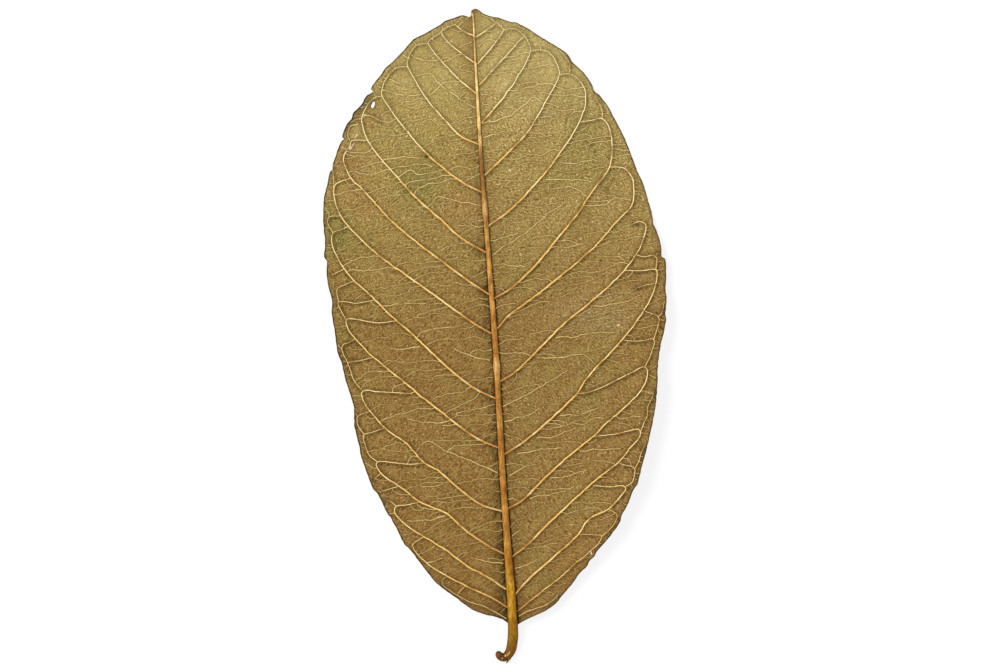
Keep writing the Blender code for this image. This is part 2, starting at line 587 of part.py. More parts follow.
def stalk_mesh():
    """The stalk, a tapering round rod that starts inside the midrib and ends in a round knob."""
    rings = curve_through(STALK, STALK_STEP)
    tip = rings[-1]
    ahead = (tip - rings[-2]).xyz.normalized()
    for lean in STALK_KNOB_LEANS:
        rings.append(Vector((*(tip.xyz + ahead * tip.w * math.sin(lean)), tip.w * math.cos(lean))))
    points, faces = [], []
    for i, ring in enumerate(rings):
        ahead = rings[min(i + 1, len(rings) - 1)].xyz - rings[max(i - 1, 0)].xyz
        across = ahead.cross(Vector((0, 0, 1))).normalized()
        up = across.cross(ahead).normalized()
        for j in range(STALK_SIDES):
            turn = 2 * math.pi * (j + 0.5) / STALK_SIDES
            spot = ring.xyz + ring.w * (math.cos(turn) * across + math.sin(turn) * up)
            points.append((spot.x, spot.y, max(0.0, spot.z)))
    for i in range(len(rings) - 1):
        for j in range(STALK_SIDES):
            a = i * STALK_SIDES + j
            b = i * STALK_SIDES + (j + 1) % STALK_SIDES
            faces.append([a, b, b + STALK_SIDES, a + STALK_SIDES])
    last = len(points) - STALK_SIDES
    faces.append(list(range(STALK_SIDES))[::-1])
    faces.append(list(range(last, len(points))))
    mesh = bpy.data.meshes.new("stalk")
    mesh.from_pydata(points, [], faces)
    return mesh


def place(mesh, name):
    """Puts a mesh in the scene under its name, with its faces pointing out."""
    working = bmesh.new()
    working.from_mesh(mesh)
    bmesh.ops.recalc_face_normals(working, faces=working.faces)
    working.to_mesh(mesh)
    working.free()
    thing = bpy.data.objects.new(name, mesh)
    bpy.context.scene.collection.objects.link(thing)
    return thing


def dry_leaf_material():
    """The dull olive brown of the dry underside."""
    material = bpy.data.materials.new("dry leaf")
    material.use_nodes = True
    shader = material.node_tree.nodes["Principled BSDF"]
    shader.inputs["Base Color"].default_value = (*LEAF_COLOUR, 1.0)
    shader.inputs["Roughness"].default_value = LEAF_ROUGHNESS
    shader.inputs["Metallic"].default_value = 0.0
    return material


def build_leaf():
    """The blade with the stalk joined to its foot, in metres and centred over the origin."""
    leaf = place(blade_mesh(), "leaf")
    stalk = place(stalk_mesh(), "stalk")
    joint = leaf.modifiers.new("stalk joint", "BOOLEAN")
    joint.operation = "UNION"
    joint.solver = "EXACT"
    joint.object = stalk
    graph = bpy.context.evaluated_depsgraph_get()
    whole = bpy.data.meshes.new_from_object(leaf.evaluated_get(graph))
    leaf.modifiers.clear()
    bpy.data.objects.remove(stalk, do_unlink=True)
    leaf.data = whole
    low = [min(v.co[axis] for v in whole.vertices) for axis in range(3)]
    high = [max(v.co[axis] for v in whole.vertices) for axis in range(3)]
    middle = Vector(((low[0] + high[0]) / 2, (low[1] + high[1]) / 2, low[2]))
    whole.transform(Matrix.Scale(MM, 4) @ Matrix.Translation(-middle))
    whole.materials.clear()
    whole.materials.append(dry_leaf_material())
    return leaf


clear_scene()
build_leaf()
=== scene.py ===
import math

import bpy
import numpy as np
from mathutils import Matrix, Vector, noise
from mathutils.geometry import delaunay_2d_cdt
from mathutils.kdtree import KDTree


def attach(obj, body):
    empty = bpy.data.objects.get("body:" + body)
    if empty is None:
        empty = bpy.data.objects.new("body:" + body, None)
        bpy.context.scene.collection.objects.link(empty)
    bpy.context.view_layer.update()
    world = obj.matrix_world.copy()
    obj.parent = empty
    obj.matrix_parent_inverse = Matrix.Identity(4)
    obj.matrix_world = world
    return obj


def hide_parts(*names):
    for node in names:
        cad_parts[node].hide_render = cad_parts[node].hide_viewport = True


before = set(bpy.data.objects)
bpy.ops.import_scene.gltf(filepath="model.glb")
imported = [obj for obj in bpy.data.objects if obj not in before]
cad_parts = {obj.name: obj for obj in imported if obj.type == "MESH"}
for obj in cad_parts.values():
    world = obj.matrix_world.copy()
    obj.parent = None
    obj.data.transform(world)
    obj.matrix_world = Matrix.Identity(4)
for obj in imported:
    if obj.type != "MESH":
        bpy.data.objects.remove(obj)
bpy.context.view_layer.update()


# The blade. A thin dry sheet with its underside up, lifted in a low arch along the midrib and
# curled up along its right side. It is drawn flat in millimetres, x to the right of the midrib
# and y from the foot of the blade to its tip, and each point is then lifted to its height.
MM = 0.001
# The drawn point that lies at the frame's origin.
MIDDLE = np.array([1.025, 58.694])
BLADE_LENGTH = 125.0
BLADE_HALF_WIDTH = 35.0
# How thick the solid's sheet is, and the finer sheet here, inside and at its rim.
SOLID_SHEET = 0.6
DRY_SHEET = 0.42
RIM_SHEET = 0.24

# The margin, up the right side and back down the left.
RIGHT_EDGE = [
    (0.97, -0.9), (2.0, -0.3), (4.0, 0.5), (6.6, 1.5), (8.8, 2.8), (10.4, 4.5), (12.4, 6.5),
    (14.4, 8.95), (15.95, 10.3), (16.2, 11.0), (17.5, 12.15), (18.2, 13.3), (19.6, 14.6),
    (21.4, 16.6), (23.1, 18.7), (23.5, 20.0), (25.0, 22.4), (26.3, 25.2), (27.2, 26.5),
    (28.3, 29.8), (29.6, 33.7), (30.7, 37.4), (31.8, 41.5), (32.5, 46.1), (32.9, 50.1),
    (33.6, 53.7), (34.6, 57.0), (35.2, 59.7), (35.2, 61.1), (35.6, 64.05), (35.5, 65.2),
    (35.9, 69.4), (35.8, 72.0), (35.15, 72.4), (35.2, 74.0), (34.5, 77.85), (33.9, 79.25),
    (33.8, 81.2), (33.0, 85.0), (32.2, 88.2), (31.4, 90.1), (30.4, 93.4), (29.1, 97.4),
    (27.3, 101.5), (26.1, 104.1), (24.5, 106.4), (23.6, 107.3), (23.1, 108.7), (21.6, 111.2),
    (19.6, 113.3), (18.75, 114.9), (17.5, 116.1), (15.05, 117.8), (12.2, 119.8), (9.7, 121.6),
    (8.4, 122.3), (7.4, 122.4), (5.1, 123.4), (2.4, 124.2), (1.5, 124.8), (0.6, 125.5),
    (0.35, 125.6),
]
LEFT_EDGE = [
    (-0.45, 125.3), (-0.55, 125.1), (-0.6, 124.2), (-0.9, 123.95), (-2.0, 124.35), (-2.3, 124.4),
    (-5.6, 123.6), (-7.6, 122.5),
    (-10.7, 121.0), (-12.4, 120.35), (-13.7, 119.3), (-15.0, 117.9), (-17.55, 115.6),
    (-18.8, 114.7), (-19.6, 113.6), (-21.25, 111.8), (-22.1, 110.5), (-21.7, 110.0),
    (-23.2, 109.1), (-24.4, 107.3), (-26.1, 105.8), (-26.35, 104.9), (-27.4, 103.8),
    (-28.65, 101.1), (-28.2, 100.8), (-28.8, 100.3), (-29.9, 98.0), (-31.1, 94.9),
    (-30.9, 94.6), (-31.5, 94.3), (-32.35, 91.4), (-33.2, 88.6), (-33.6, 84.0), (-33.5, 79.6),
    (-33.85, 76.8), (-33.35, 75.8), (-33.6, 73.9), (-33.4, 70.7), (-32.85, 67.6),
    (-33.05, 65.5), (-32.65, 60.6), (-32.3, 56.6), (-31.7, 55.0), (-31.2, 51.7),
    (-30.05, 47.1), (-29.75, 45.5), (-29.9, 41.7), (-29.3, 38.4), (-28.9, 35.3),
    (-27.75, 31.4), (-26.9, 28.7), (-26.1, 27.7), (-24.9, 25.0), (-24.4, 23.7), (-23.7, 22.7),
    (-22.5, 20.1), (-21.1, 16.85), (-20.2, 15.95), (-18.3, 13.1), (-16.25, 10.0),
    (-15.0, 8.5), (-13.5, 7.1), (-11.1, 5.15), (-9.6, 3.9), (-8.1, 2.7), (-6.2, 1.75),
    (-4.0, 1.1), (-2.0, 0.34), (-1.15, -0.4),
]
# The midrib's centre line and its width, as (x, y, width).
MIDRIB = [
    (-0.02, 0, 2.1), (-0.03, 5, 1.9), (-0.1, 10, 1.75), (-0.15, 20, 1.5), (-0.2, 30, 1.35),
    (-0.1, 40, 1.28), (-0.01, 50, 1.25), (0.02, 52, 1.45), (0.03, 54, 1.25), (-0.04, 62, 1.2),
    (-0.14, 70, 1.12), (-0.28, 80, 1.0), (-0.34, 84.5, 1.2), (-0.38, 88, 0.97),
    (-0.44, 95, 0.84), (-0.44, 100, 0.74), (-0.38, 110, 0.58), (-0.33, 118, 0.44),
    (-0.22, 123.2, 0.34), (-0.3, 124.7, 0.24),
]
# Side veins from the foot to the tip. Each runs from the midrib outwards, and is followed by
# the arch that carries it along the margin to the next vein above it.
LEFT_VEINS = [
    ([(-1.3, 0.5), (-5.2, 3.0), (-9.0, 4.6), (-12.4, 6.9)],
     [(-13.9, 8.2), (-14.0, 8.9), (-13.2, 9.8)]),
    ([(-1.1, 2.9), (-4.0, 5.0), (-9.3, 7.8), (-14.9, 11.3), (-18.0, 14.1)],
     [(-19.5, 16.7), (-18.3, 17.7), (-17.0, 18.3)]),
    ([(-1.1, 6.6), (-4.5, 9.2), (-8.5, 11.7), (-12.8, 15.4), (-17.0, 18.3), (-20.0, 20.4),
      (-22.3, 22.9)],
     [(-22.8, 23.9), (-22.3, 24.9), (-20.5, 25.0), (-17.4, 25.5)]),
    ([(-1.1, 13.9), (-4.2, 15.8), (-8.8, 19.4), (-12.0, 22.7), (-17.4, 25.5), (-20.3, 28.0),
      (-24.6, 31.4), (-25.8, 33.1)],
     [(-25.6, 34.2), (-21.5, 33.7), (-18.5, 33.3), (-16.1, 33.4)]),
    ([(-1.1, 22.7), (-5.0, 24.2), (-9.0, 27.5), (-13.2, 31.6), (-16.1, 33.5), (-19.4, 37.6),
      (-23.2, 40.6), (-26.4, 44.6), (-27.8, 47.4)],
     [(-27.7, 48.9), (-25.0, 48.6), (-21.5, 48.2), (-18.0, 47.8), (-17.0, 48.1)]),
    ([(-1.1, 35.8), (-5.0, 37.8), (-10.0, 41.9), (-14.2, 45.7), (-17.0, 48.2), (-20.2, 51.2),
      (-25.1, 55.6), (-28.1, 59.1), (-29.7, 61.3), (-30.1, 63.6)],
     [(-28.6, 63.7), (-23.8, 62.6), (-20.0, 62.8)]),
    ([(-0.9, 45.8), (-4.5, 47.8), (-7.5, 50.2), (-11.4, 54.0), (-16.5, 59.6), (-20.2, 63.2),
      (-25.4, 69.0), (-28.1, 71.6), (-30.4, 75.0), (-31.9, 78.5)],
     [(-32.1, 80.0), (-31.7, 81.6), (-29.9, 82.2), (-28.5, 82.7)]),
    ([(-0.9, 59.1), (-4.4, 61.5), (-11.0, 66.9), (-16.5, 71.4), (-22.0, 75.8), (-26.5, 80.4),
      (-29.5, 84.2), (-30.9, 88.0)],
     [(-31.0, 90.6), (-30.3, 91.7), (-27.3, 92.6)]),
    ([(-0.7, 67.0), (-4.8, 70.1), (-9.8, 74.4), (-15.4, 79.2), (-20.2, 84.0), (-24.9, 89.9),
      (-27.3, 92.6), (-28.6, 96.0)],
     [(-28.4, 97.4), (-27.0, 99.3), (-26.8, 100.2), (-23.7, 100.1)]),
    ([(-0.8, 75.6), (-5.4, 78.7), (-9.8, 83.2), (-14.4, 87.8), (-17.8, 92.1), (-21.8, 97.3),
      (-23.6, 100.6), (-24.4, 104.3)],
     [(-23.5, 106.6), (-21.5, 108.7), (-19.9, 108.9)]),
    ([(-1.0, 88.0), (-4.6, 90.2), (-10.2, 95.1), (-13.6, 99.2), (-16.6, 103.4),
      (-19.9, 109.0)],
     [(-19.8, 110.3), (-19.2, 111.8), (-17.0, 114.3), (-14.3, 114.7)]),
    ([(-0.9, 97.8), (-4.1, 99.5), (-7.1, 102.8), (-11.0, 108.0), (-12.5, 110.9),
      (-14.2, 114.5)],
     [(-14.1, 116.2), (-12.3, 118.8), (-9.8, 119.1)]),
    ([(-0.6, 108.1), (-3.8, 111.2), (-7.3, 115.3), (-9.8, 119.1)],
     [(-9.3, 119.8), (-6.95, 121.2)]),
    ([(-0.7, 114.6), (-3.6, 117.0), (-5.9, 119.4), (-6.9, 121.2)],
     [(-6.0, 122.0), (-4.0, 122.6)]),
    ([(-0.4, 120.1), (-1.5, 120.6), (-2.8, 121.4), (-4.0, 122.6)], []),
]
RIGHT_VEINS = [
    ([(1.2, 0.8), (3.2, 1.8), (6.3, 2.6), (8.0, 3.4), (9.5, 4.6)], []),
    ([(1.0, 1.8), (5.0, 4.7), (9.6, 7.8), (13.9, 11.2), (17.9, 14.2)],
     [(19.2, 16.1), (18.0, 16.5), (14.7, 16.8)]),
    ([(0.85, 5.4), (3.5, 8.1), (8.5, 12.0), (14.2, 16.6), (16.8, 19.8), (20.9, 21.6),
      (23.5, 24.0)],
     [(24.6, 25.9), (21.5, 26.1), (18.2, 26.6)]),
    ([(0.75, 13.2), (4.0, 15.4), (9.0, 19.9), (14.8, 24.6), (18.0, 27.2), (23.7, 31.2),
      (26.0, 33.6), (27.9, 35.4)],
     [(28.4, 36.6), (28.1, 37.5), (23.5, 36.9), (19.1, 36.6)]),
    ([(0.6, 23.1), (3.6, 24.6), (8.6, 29.0), (14.0, 33.3), (18.9, 36.7), (21.0, 38.7),
      (25.8, 42.3), (29.4, 45.8), (30.6, 48.3)],
     [(30.2, 50.1), (27.5, 49.2), (22.5, 47.1), (18.5, 45.7), (16.2, 45.6)]),
    ([(0.5, 34.2), (4.6, 36.5), (9.0, 39.7), (15.9, 45.5), (18.6, 49.0), (25.0, 55.0),
      (29.2, 59.6), (32.3, 64.0), (33.7, 67.3)],
     [(34.0, 69.0), (33.8, 69.9), (31.0, 69.8), (27.4, 70.1)]),
    ([(0.75, 49.2), (3.6, 50.7), (8.1, 54.5), (14.3, 60.0), (20.7, 64.6), (25.8, 68.6),
      (30.1, 73.4), (31.8, 76.7)],
     [(32.3, 79.2), (31.0, 79.9), (30.0, 79.6)]),
    ([(0.75, 60.0), (3.2, 62.4), (9.4, 66.4), (15.2, 70.5), (21.8, 75.5), (26.3, 80.1),
      (29.9, 83.6), (30.4, 87.6)],
     [(30.2, 89.0), (28.7, 91.0), (25.8, 91.5)]),
    ([(0.5, 66.1), (3.8, 67.8), (9.2, 72.2), (14.3, 77.7), (18.3, 82.0), (22.2, 87.1),
      (25.7, 91.5), (26.5, 95.7), (26.1, 99.7)],
     [(24.8, 101.5), (23.0, 101.3), (20.4, 101.0)]),
    ([(0.45, 81.1), (5.0, 84.0), (9.8, 88.4), (14.8, 93.7), (18.6, 98.7), (21.2, 103.4),
      (21.7, 107.3)],
     [(20.4, 109.9), (18.7, 111.0), (16.6, 111.0)]),
    ([(0.1, 91.3), (5.0, 95.5), (9.8, 100.1), (13.6, 105.8), (16.6, 110.9)],
     [(16.1, 113.8), (14.9, 115.6), (12.8, 116.4), (11.1, 116.1)]),
    ([(0.05, 102.0), (4.7, 106.8), (8.6, 111.8), (11.1, 116.2)],
     [(10.7, 118.1), (10.0, 119.4), (8.0, 121.0), (6.0, 120.8)]),
    ([(0.1, 109.8), (4.9, 114.5), (8.9, 118.4)], [(9.9, 119.2)]),
    ([(0.1, 114.2), (2.8, 117.1), (6.0, 120.9)], [(5.6, 121.4), (4.3, 122.6)]),
    ([(0.0, 119.7), (3.0, 121.4), (4.3, 122.5)], [(3.4, 123.2), (3.9, 123.6)]),
]
VEINS = LEFT_VEINS + RIGHT_VEINS
# Smaller veins that stand out: loops outside the arches, and slim veins in between.
OUTER_LOOPS = [
    [(-25.6, 34.2), (-27.3, 35.8), (-28.1, 39.0), (-28.0, 40.0), (-26.2, 40.3), (-23.8, 41.0)],
    [(-28.0, 40.0), (-29.0, 41.5), (-29.3, 43.0), (-29.0, 43.9), (-26.5, 44.6)],
    [(-27.7, 48.9), (-29.5, 51.3), (-30.1, 54.0), (-30.4, 54.8), (-27.7, 55.2), (-25.1, 55.6)],
    [(-30.4, 54.8), (-31.3, 57.0), (-31.35, 58.5), (-30.0, 59.0), (-28.6, 59.6)],
    [(-30.1, 63.6), (-31.3, 66.0), (-31.5, 67.5), (-28.0, 66.9), (-24.2, 67.3)],
    [(-31.5, 67.5), (-31.7, 69.0), (-31.6, 70.2), (-30.0, 70.9), (-28.0, 71.5)],
    [(-31.7, 81.6), (-32.4, 83.0), (-32.7, 84.4), (-32.3, 84.9), (-30.0, 85.0)],
    [(-32.6, 73.0), (-29.9, 74.1)],
    [(-31.0, 90.6), (-30.9, 93.3), (-31.0, 94.5)],
    [(-24.2, 105.4), (-22.2, 104.9), (-20.6, 103.9)],
    [(-22.3, 24.9), (-23.4, 25.9), (-24.6, 26.3)],
    [(-25.2, 31.8), (-26.5, 30.6)],
    [(-21.8, 28.9), (-25.4, 28.1)],
    [(-10.9, 6.2), (-9.3, 7.7)],
    [(19.2, 16.1), (21.3, 17.8), (22.7, 20.0), (22.3, 20.8), (20.9, 21.6)],
    [(24.6, 25.9), (26.2, 27.0), (26.8, 29.5), (25.8, 30.1), (23.8, 30.8)],
    [(26.8, 29.5), (28.0, 31.3), (28.2, 32.2), (28.9, 33.6)],
    [(28.4, 36.6), (29.2, 38.6), (29.9, 39.8), (30.3, 42.0), (31.4, 43.9), (31.6, 45.2)],
    [(30.2, 50.1), (31.6, 52.6), (32.4, 55.6), (30.5, 55.5), (28.3, 55.5), (26.3, 55.9)],
    [(32.4, 55.6), (33.3, 58.0), (33.6, 60.2), (31.4, 61.3), (30.9, 61.6)],
    [(33.6, 60.2), (34.4, 60.8), (34.8, 62.0)],
    [(33.8, 69.9), (33.9, 72.5), (31.5, 72.7), (29.9, 73.2)],
    [(33.7, 67.0), (31.5, 66.8), (29.5, 66.3)],
    [(33.9, 72.5), (34.3, 73.3)],
    [(24.8, 101.5), (25.0, 102.8), (24.7, 104.2), (23.9, 105.3), (23.8, 106.3)],
    [(18.7, 111.0), (18.9, 112.3), (18.7, 113.4), (18.1, 114.6)],
]
SLIM_VEINS = [
    [(-25.2, 103.6), (-26.9, 102.9), (-27.4, 101.8), (-27.1, 100.4)],
    [(-0.9, 105.2), (-3.2, 106.6), (-5.5, 108.6), (-7.9, 110.3), (-8.9, 112.0), (-9.7, 113.0),
     (-12.8, 112.5)],
    [(-7.9, 110.3), (-10.3, 108.3)],
    [(-19.8, 110.2), (-15.5, 108.8), (-11.9, 108.7)],
    [(-18.2, 112.3), (-15.0, 110.8)],
    [(-13.5, 117.0), (-11.2, 115.7), (-7.6, 115.5)],
    [(-1.1, 85.2), (-6.5, 86.6), (-9.8, 87.6), (-11.0, 86.5), (-12.0, 85.5)],
    [(-17.7, 92.0), (-16, 93.2), (-14.9, 93.4), (-13.4, 92.3), (-8.4, 93.0)],
    [(-14.7, 88.0), (-13.5, 89.5), (-11.7, 90.3), (-8.8, 90.4)],
    [(-20.6, 95.8), (-16, 96.1), (-11.9, 95.6)],
    [(-1.2, 30.5), (-6.2, 33.1), (-11.5, 35.6), (-14.5, 37.7), (-16, 37.4), (-17.5, 35.8)],
    [(-10.4, 41.7), (-12.5, 41.4), (-15, 41.7), (-19, 42.7)],
    [(-15.9, 59.0), (-14.8, 60.2), (-12, 60.6), (-7.6, 60.9), (-5.3, 61.5)],
    [(-15.3, 57.2), (-18.2, 57.0), (-21, 57.2), (-22.5, 57.6)],
    [(-1.3, 53.5), (-5.8, 54.9), (-9.0, 56.6)],
    [(-22.5, 66.0), (-18.7, 66), (-13.7, 66)],
    [(-12.5, 22.4), (-16, 21.7), (-20.3, 21.8)],
    [(-1.3, 11.9), (-4.4, 12.4), (-7, 13.3)],
    [(-15.0, 16.3), (-16.7, 15.2), (-18.8, 14.7)],
    [(-17, 12.9), (-13.5, 13.7)],
    [(0.65, 74.9), (2.8, 76.4), (7.8, 79.1), (12.8, 82.9), (15.9, 84.6), (16.1, 85.5)],
    [(0.75, 43.9), (6.0, 46.1), (10.8, 48.5), (14.5, 50.5)],
    [(0.8, 40.8), (3.5, 41.3), (6.0, 42.0), (8.3, 43.2)],
    [(1.0, 29.7), (3.0, 30.6), (5.0, 31.4), (6.7, 31.7)],
    [(0.1, 101.9), (4.0, 102.6), (6.5, 103.6), (9.0, 105.2), (11.0, 106.6), (13.0, 105.3)],
    [(0.2, 99.0), (4.8, 100.1)],
    [(1.0, 10.7), (3.5, 11.2), (5.6, 12.1)],
    [(0.9, 17.3), (2.8, 18.6)],
    [(15.2, 93.0), (18, 92.7), (22.8, 93.3)],
    [(12.5, 89.7), (16, 89.5), (20, 89.2), (22, 88.6)],
    [(14.6, 87.8), (18, 87.6), (21, 85.3)],
    [(19.6, 83.8), (24.5, 84.0), (26.5, 84.9), (29.5, 84.5)],
    [(12.4, 57.3), (15, 57.2), (20, 57.6), (24.6, 57.6)],
    [(8.3, 53.4), (12.5, 53.2), (17.2, 53.5), (18.8, 52.7), (20.2, 51.3)],
    [(20, 63.2), (23.5, 63.2), (27.9, 63.9), (30.5, 65)],
    [(12.2, 41.3), (15.5, 41.3), (18.5, 41.7), (20.3, 42.4)],
    [(7.2, 37.1), (10, 37.1), (13, 37.8), (15.5, 38.7)],
    [(9.4, 28.7), (13, 29.0), (17, 29.8)],
    [(5, 24.8), (8, 25.3), (12.5, 25.7)],
    [(15.8, 33.8), (20, 33.9), (24.2, 33.8)],
    [(3, 34.1), (8, 34.6), (12, 34.8)],
]

# Heights of the sheet's middle above the table, as (y, height), and how they run to the rims.
RIDGE_HEIGHT = [
    (-2, 1.75), (10, 3.4), (25, 5.2), (45, 6.6), (65, 6.4), (85, 5.0), (105, 3.2),
    (118, 2.1), (126, 1.7),
]
LEFT_RIM_HEIGHT = [
    (-2, 1.8), (15, 1.5), (35, 0.3), (57.5, -0.8), (80, 0.1), (100, 0.9), (115, 1.3),
    (126, 1.7),
]
RIGHT_RIM_HEIGHT = [
    (-2, 1.9), (10, 3.4), (20, 4.8), (35, 5.4), (50, 4.8), (70, 2.6), (85, 0.3),
    (92.6, -0.4), (105, 0.3), (118, 1.2), (126, 1.7),
]
# How the arch falls off to the sides, the shallow trough along the right half, and the waves
# of the rims: their two lengths, the start on the left and on the right, and their height.
ARCH_FALL = 1.45
TROUGH_DEPTH, TROUGH_LENGTH = 0.9, 90
RIM_WAVES = (15.5, 8.7)
RIM_WAVE_STARTS = (0.6, 2.4)
RIM_WAVE_HEIGHT = 0.32
# The two small flat places that the blade rests on.
SEATS = [(-29.8, 57.5), (28.4, 92.6)]
SEAT_RADIUS = 1.5
SEAT_FADE = 5.0


def ramp(values, start, span):
    """Rises evenly from 0 at start to 1 one span further on."""
    return np.clip((values - start) / span, 0, 1)


def hump(distance, height, width):
    """The height of a round-backed ridge at a distance from its crest."""
    return height * np.exp(-((distance / width) ** 2))


def rippled(x, y, *layers):
    """Smooth noise at a flat place, summed from layers of (pitch, seed, share)."""
    return sum(
        share * noise.noise(Vector((x * pitch, y * pitch, seed))) for pitch, seed, share in layers
    )


def joined(start, leave, end, arrive, t):
    """A smooth course from start to end, with the slopes that it leaves and arrives with."""
    return (
        start * (2 * t**3 - 3 * t**2 + 1) + leave * (t**3 - 2 * t**2 + t)
        + end * (3 * t**2 - 2 * t**3) + arrive * (t**3 - t**2)
    )


def smooth_line(corners, step):
    """Points about one step apart on a smooth line through the given corners."""
    knots = [np.array(c, float) for c in corners]
    knots = [2 * knots[0] - knots[1]] + knots + [2 * knots[-1] - knots[-2]]
    line = []
    for before, start, end, after in zip(knots, knots[1:], knots[2:], knots[3:]):
        span = np.linalg.norm(end - start)
        pieces = max(1, round(span / step))
        leave = (end - before) / np.linalg.norm(end - before) * span
        arrive = (after - start) / np.linalg.norm(after - start) * span
        line.append(joined(start, leave, end, arrive, (np.arange(pieces) / pieces)[:, None]))
    return np.vstack(line + [knots[-2][None, :]])


def read_off(stations, y):
    """Values at y on a smooth line through (y, value) stations."""
    ys, values = np.array(stations, float).T
    slope = np.gradient(values, ys)
    slope[1:-1] = (values[2:] - values[:-2]) / (ys[2:] - ys[:-2])
    low = np.clip(np.searchsorted(ys, y, side="right") - 1, 0, len(ys) - 2)
    high = low + 1
    span = ys[high] - ys[low]
    t = ramp(y, ys[low], span)
    return joined(values[low], slope[low] * span, values[high], slope[high] * span, t)


def sheet_height(spots):
    """Height of the sheet's middle at flat spots, before its quilting and its seats."""
    x, y = spots.T
    along = np.clip(np.abs(2 * y / BLADE_LENGTH - 1), 0, 1)
    half_width = np.maximum(2.0, BLADE_HALF_WIDTH * (1 - along**2.2) ** 0.65)
    out = np.minimum(1.12, np.abs(x) / half_width)
    ridge = read_off(RIDGE_HEIGHT, y)
    rim = np.where(x < 0, read_off(LEFT_RIM_HEIGHT, y), read_off(RIGHT_RIM_HEIGHT, y))
    height = ridge + (rim - ridge) * out**ARCH_FALL
    trough = np.sin(math.pi * np.minimum(out, 1)) * np.sin(math.pi * ramp(y, 0, TROUGH_LENGTH))
    height -= TROUGH_DEPTH * np.where(x > 0, trough, 0)
    wave = np.sin(2 * math.pi * y / RIM_WAVES[0] + np.where(x < 0, *RIM_WAVE_STARTS))
    wave += 0.6 * np.sin(2 * math.pi * y / RIM_WAVES[1])
    ends = np.sqrt(np.maximum(0, np.sin(math.pi * ramp(y, 0, BLADE_LENGTH))))
    lift = height + RIM_WAVE_HEIGHT * wave * ends * out**6 - SOLID_SHEET / 2
    return SOLID_SHEET / 2 + (lift + np.hypot(lift, 0.5)) / 2


def tree_of(lines):
    """A search tree of the points of several flat lines."""
    points = np.vstack(lines)
    tree = KDTree(len(points))
    for i, (x, y) in enumerate(points):
        tree.insert((x, y, 0), i)
    tree.balance()
    return tree


def gap_to(tree, x, y):
    """How far a flat place is from the closest point in a search tree."""
    return tree.find((x, y, 0))[2]


def gaps_to(tree, spots):
    return np.array([gap_to(tree, x, y) for x, y in spots])


class Drawing:
    """Flat points that can be asked which of them is near a place."""

    CELL = 1.0

    def __init__(self):
        self.points = []
        self.cells = {}

    def close_to(self, x, y, reach):
        """The closest point within reach, or None."""
        column, row = int(x // self.CELL), int(y // self.CELL)
        closest, least = None, reach * reach
        for i in (column - 1, column, column + 1):
            for j in (row - 1, row, row + 1):
                for a, b in self.cells.get((i, j), ()):
                    gap = (a - x) ** 2 + (b - y) ** 2
                    if gap < least:
                        closest, least = (a, b), gap
        return closest

    def add(self, spots, clearance=0):
        """Adds the points that have no other within the clearance."""
        for x, y in spots:
            if clearance == 0 or not self.close_to(x, y, clearance):
                cell = (int(x // self.CELL), int(y // self.CELL))
                self.cells.setdefault(cell, []).append((x, y))
                self.points.append((x, y))


def sideways(line):
    """Unit vectors across a flat line, to its left."""
    ahead = np.gradient(line, axis=0)
    ahead /= np.maximum(np.linalg.norm(ahead, axis=1), 1e-9)[:, None]
    return np.stack([-ahead[:, 1], ahead[:, 0]], axis=1)


def within(spots, ring):
    """Which spots lie inside a closed ring."""
    x, y = spots.T
    count = np.zeros(len(spots), int)
    for (ax, ay), (bx, by) in zip(ring, np.roll(ring, -1, axis=0)):
        if ay == by:
            continue
        crosses = (ay > y) != (by > y)
        count += crosses & (x < (bx - ax) * (y - ay) / (by - ay) + ax)
    return count % 2 == 1


def wandering(line, size, seed):
    """A flat line that wanders off its course, but not at its ends."""
    along = np.linspace(0, 1, len(line))
    drift = np.array([rippled(x, y, (0.5, seed, 1), (1.3, seed, 0.8)) for x, y in line])
    return line + sideways(line) * (size * drift * np.sin(math.pi * along) ** 0.6)[:, None]


def drawn(lines, size, seed_step):
    """Smooth lines through the given corners, each with a wander of its own."""
    return [
        wandering(smooth_line(line, LINE_STEP), size, i * seed_step)
        for i, line in enumerate(lines)
    ]


# The drawn lines. The margin also gets the small crinkles of a dry edge.
LINE_STEP = 0.5
MARGIN_STEP = 0.4
CRINKLE = 0.1
WANDER = 0.12
SLIM_WANDER = 0.3
corners = RIGHT_EDGE + LEFT_EDGE
margin = smooth_line(corners + corners[:1], MARGIN_STEP)[:-1]
crinkle = np.array([rippled(x, y, (0.9, 3.0, 1), (2.3, 8.0, 0.6)) for x, y in margin])
margin = margin + sideways(margin) * (CRINKLE * crinkle[:, None])
midrib_line = smooth_line([(x, y) for x, y, _ in MIDRIB], LINE_STEP)
rib_lines = drawn([vein + arch for vein, arch in VEINS], WANDER, 1.7)
small_lines = drawn(OUTER_LOOPS, WANDER, 2.9)
slim_lines = drawn(SLIM_VEINS, SLIM_WANDER, 2.3)
woody_lines = rib_lines + small_lines
rib_tree = tree_of(woody_lines)
line_owner = np.concatenate([np.full(len(line), i) for i, line in enumerate(woody_lines)])
quilt_tree = tree_of([midrib_line] + rib_lines)
midrib_tree = tree_of([midrib_line])
margin_tree = tree_of([smooth_line(list(margin) + [margin[0]], 0.1)])


# The net is planned before the blade is made, because the blade rises a little along it. Each
# cross vein leaves a side vein or the midrib nearly level, wanders outwards, and turns to meet
# the next line squarely. It ends there, at another cross vein or at the margin.
NET_SEED = 11
NET_GAPS = (1.1, 2.0)
NET_STEP = 0.5
NET_MOST_POINTS = 34
NET_LEAST_POINTS = 7
# How steeply the veins drop on their way out, on the left and on the right.
NET_DROP = {-1: (-0.08, 0.34), 1: (-0.26, 0.16)}
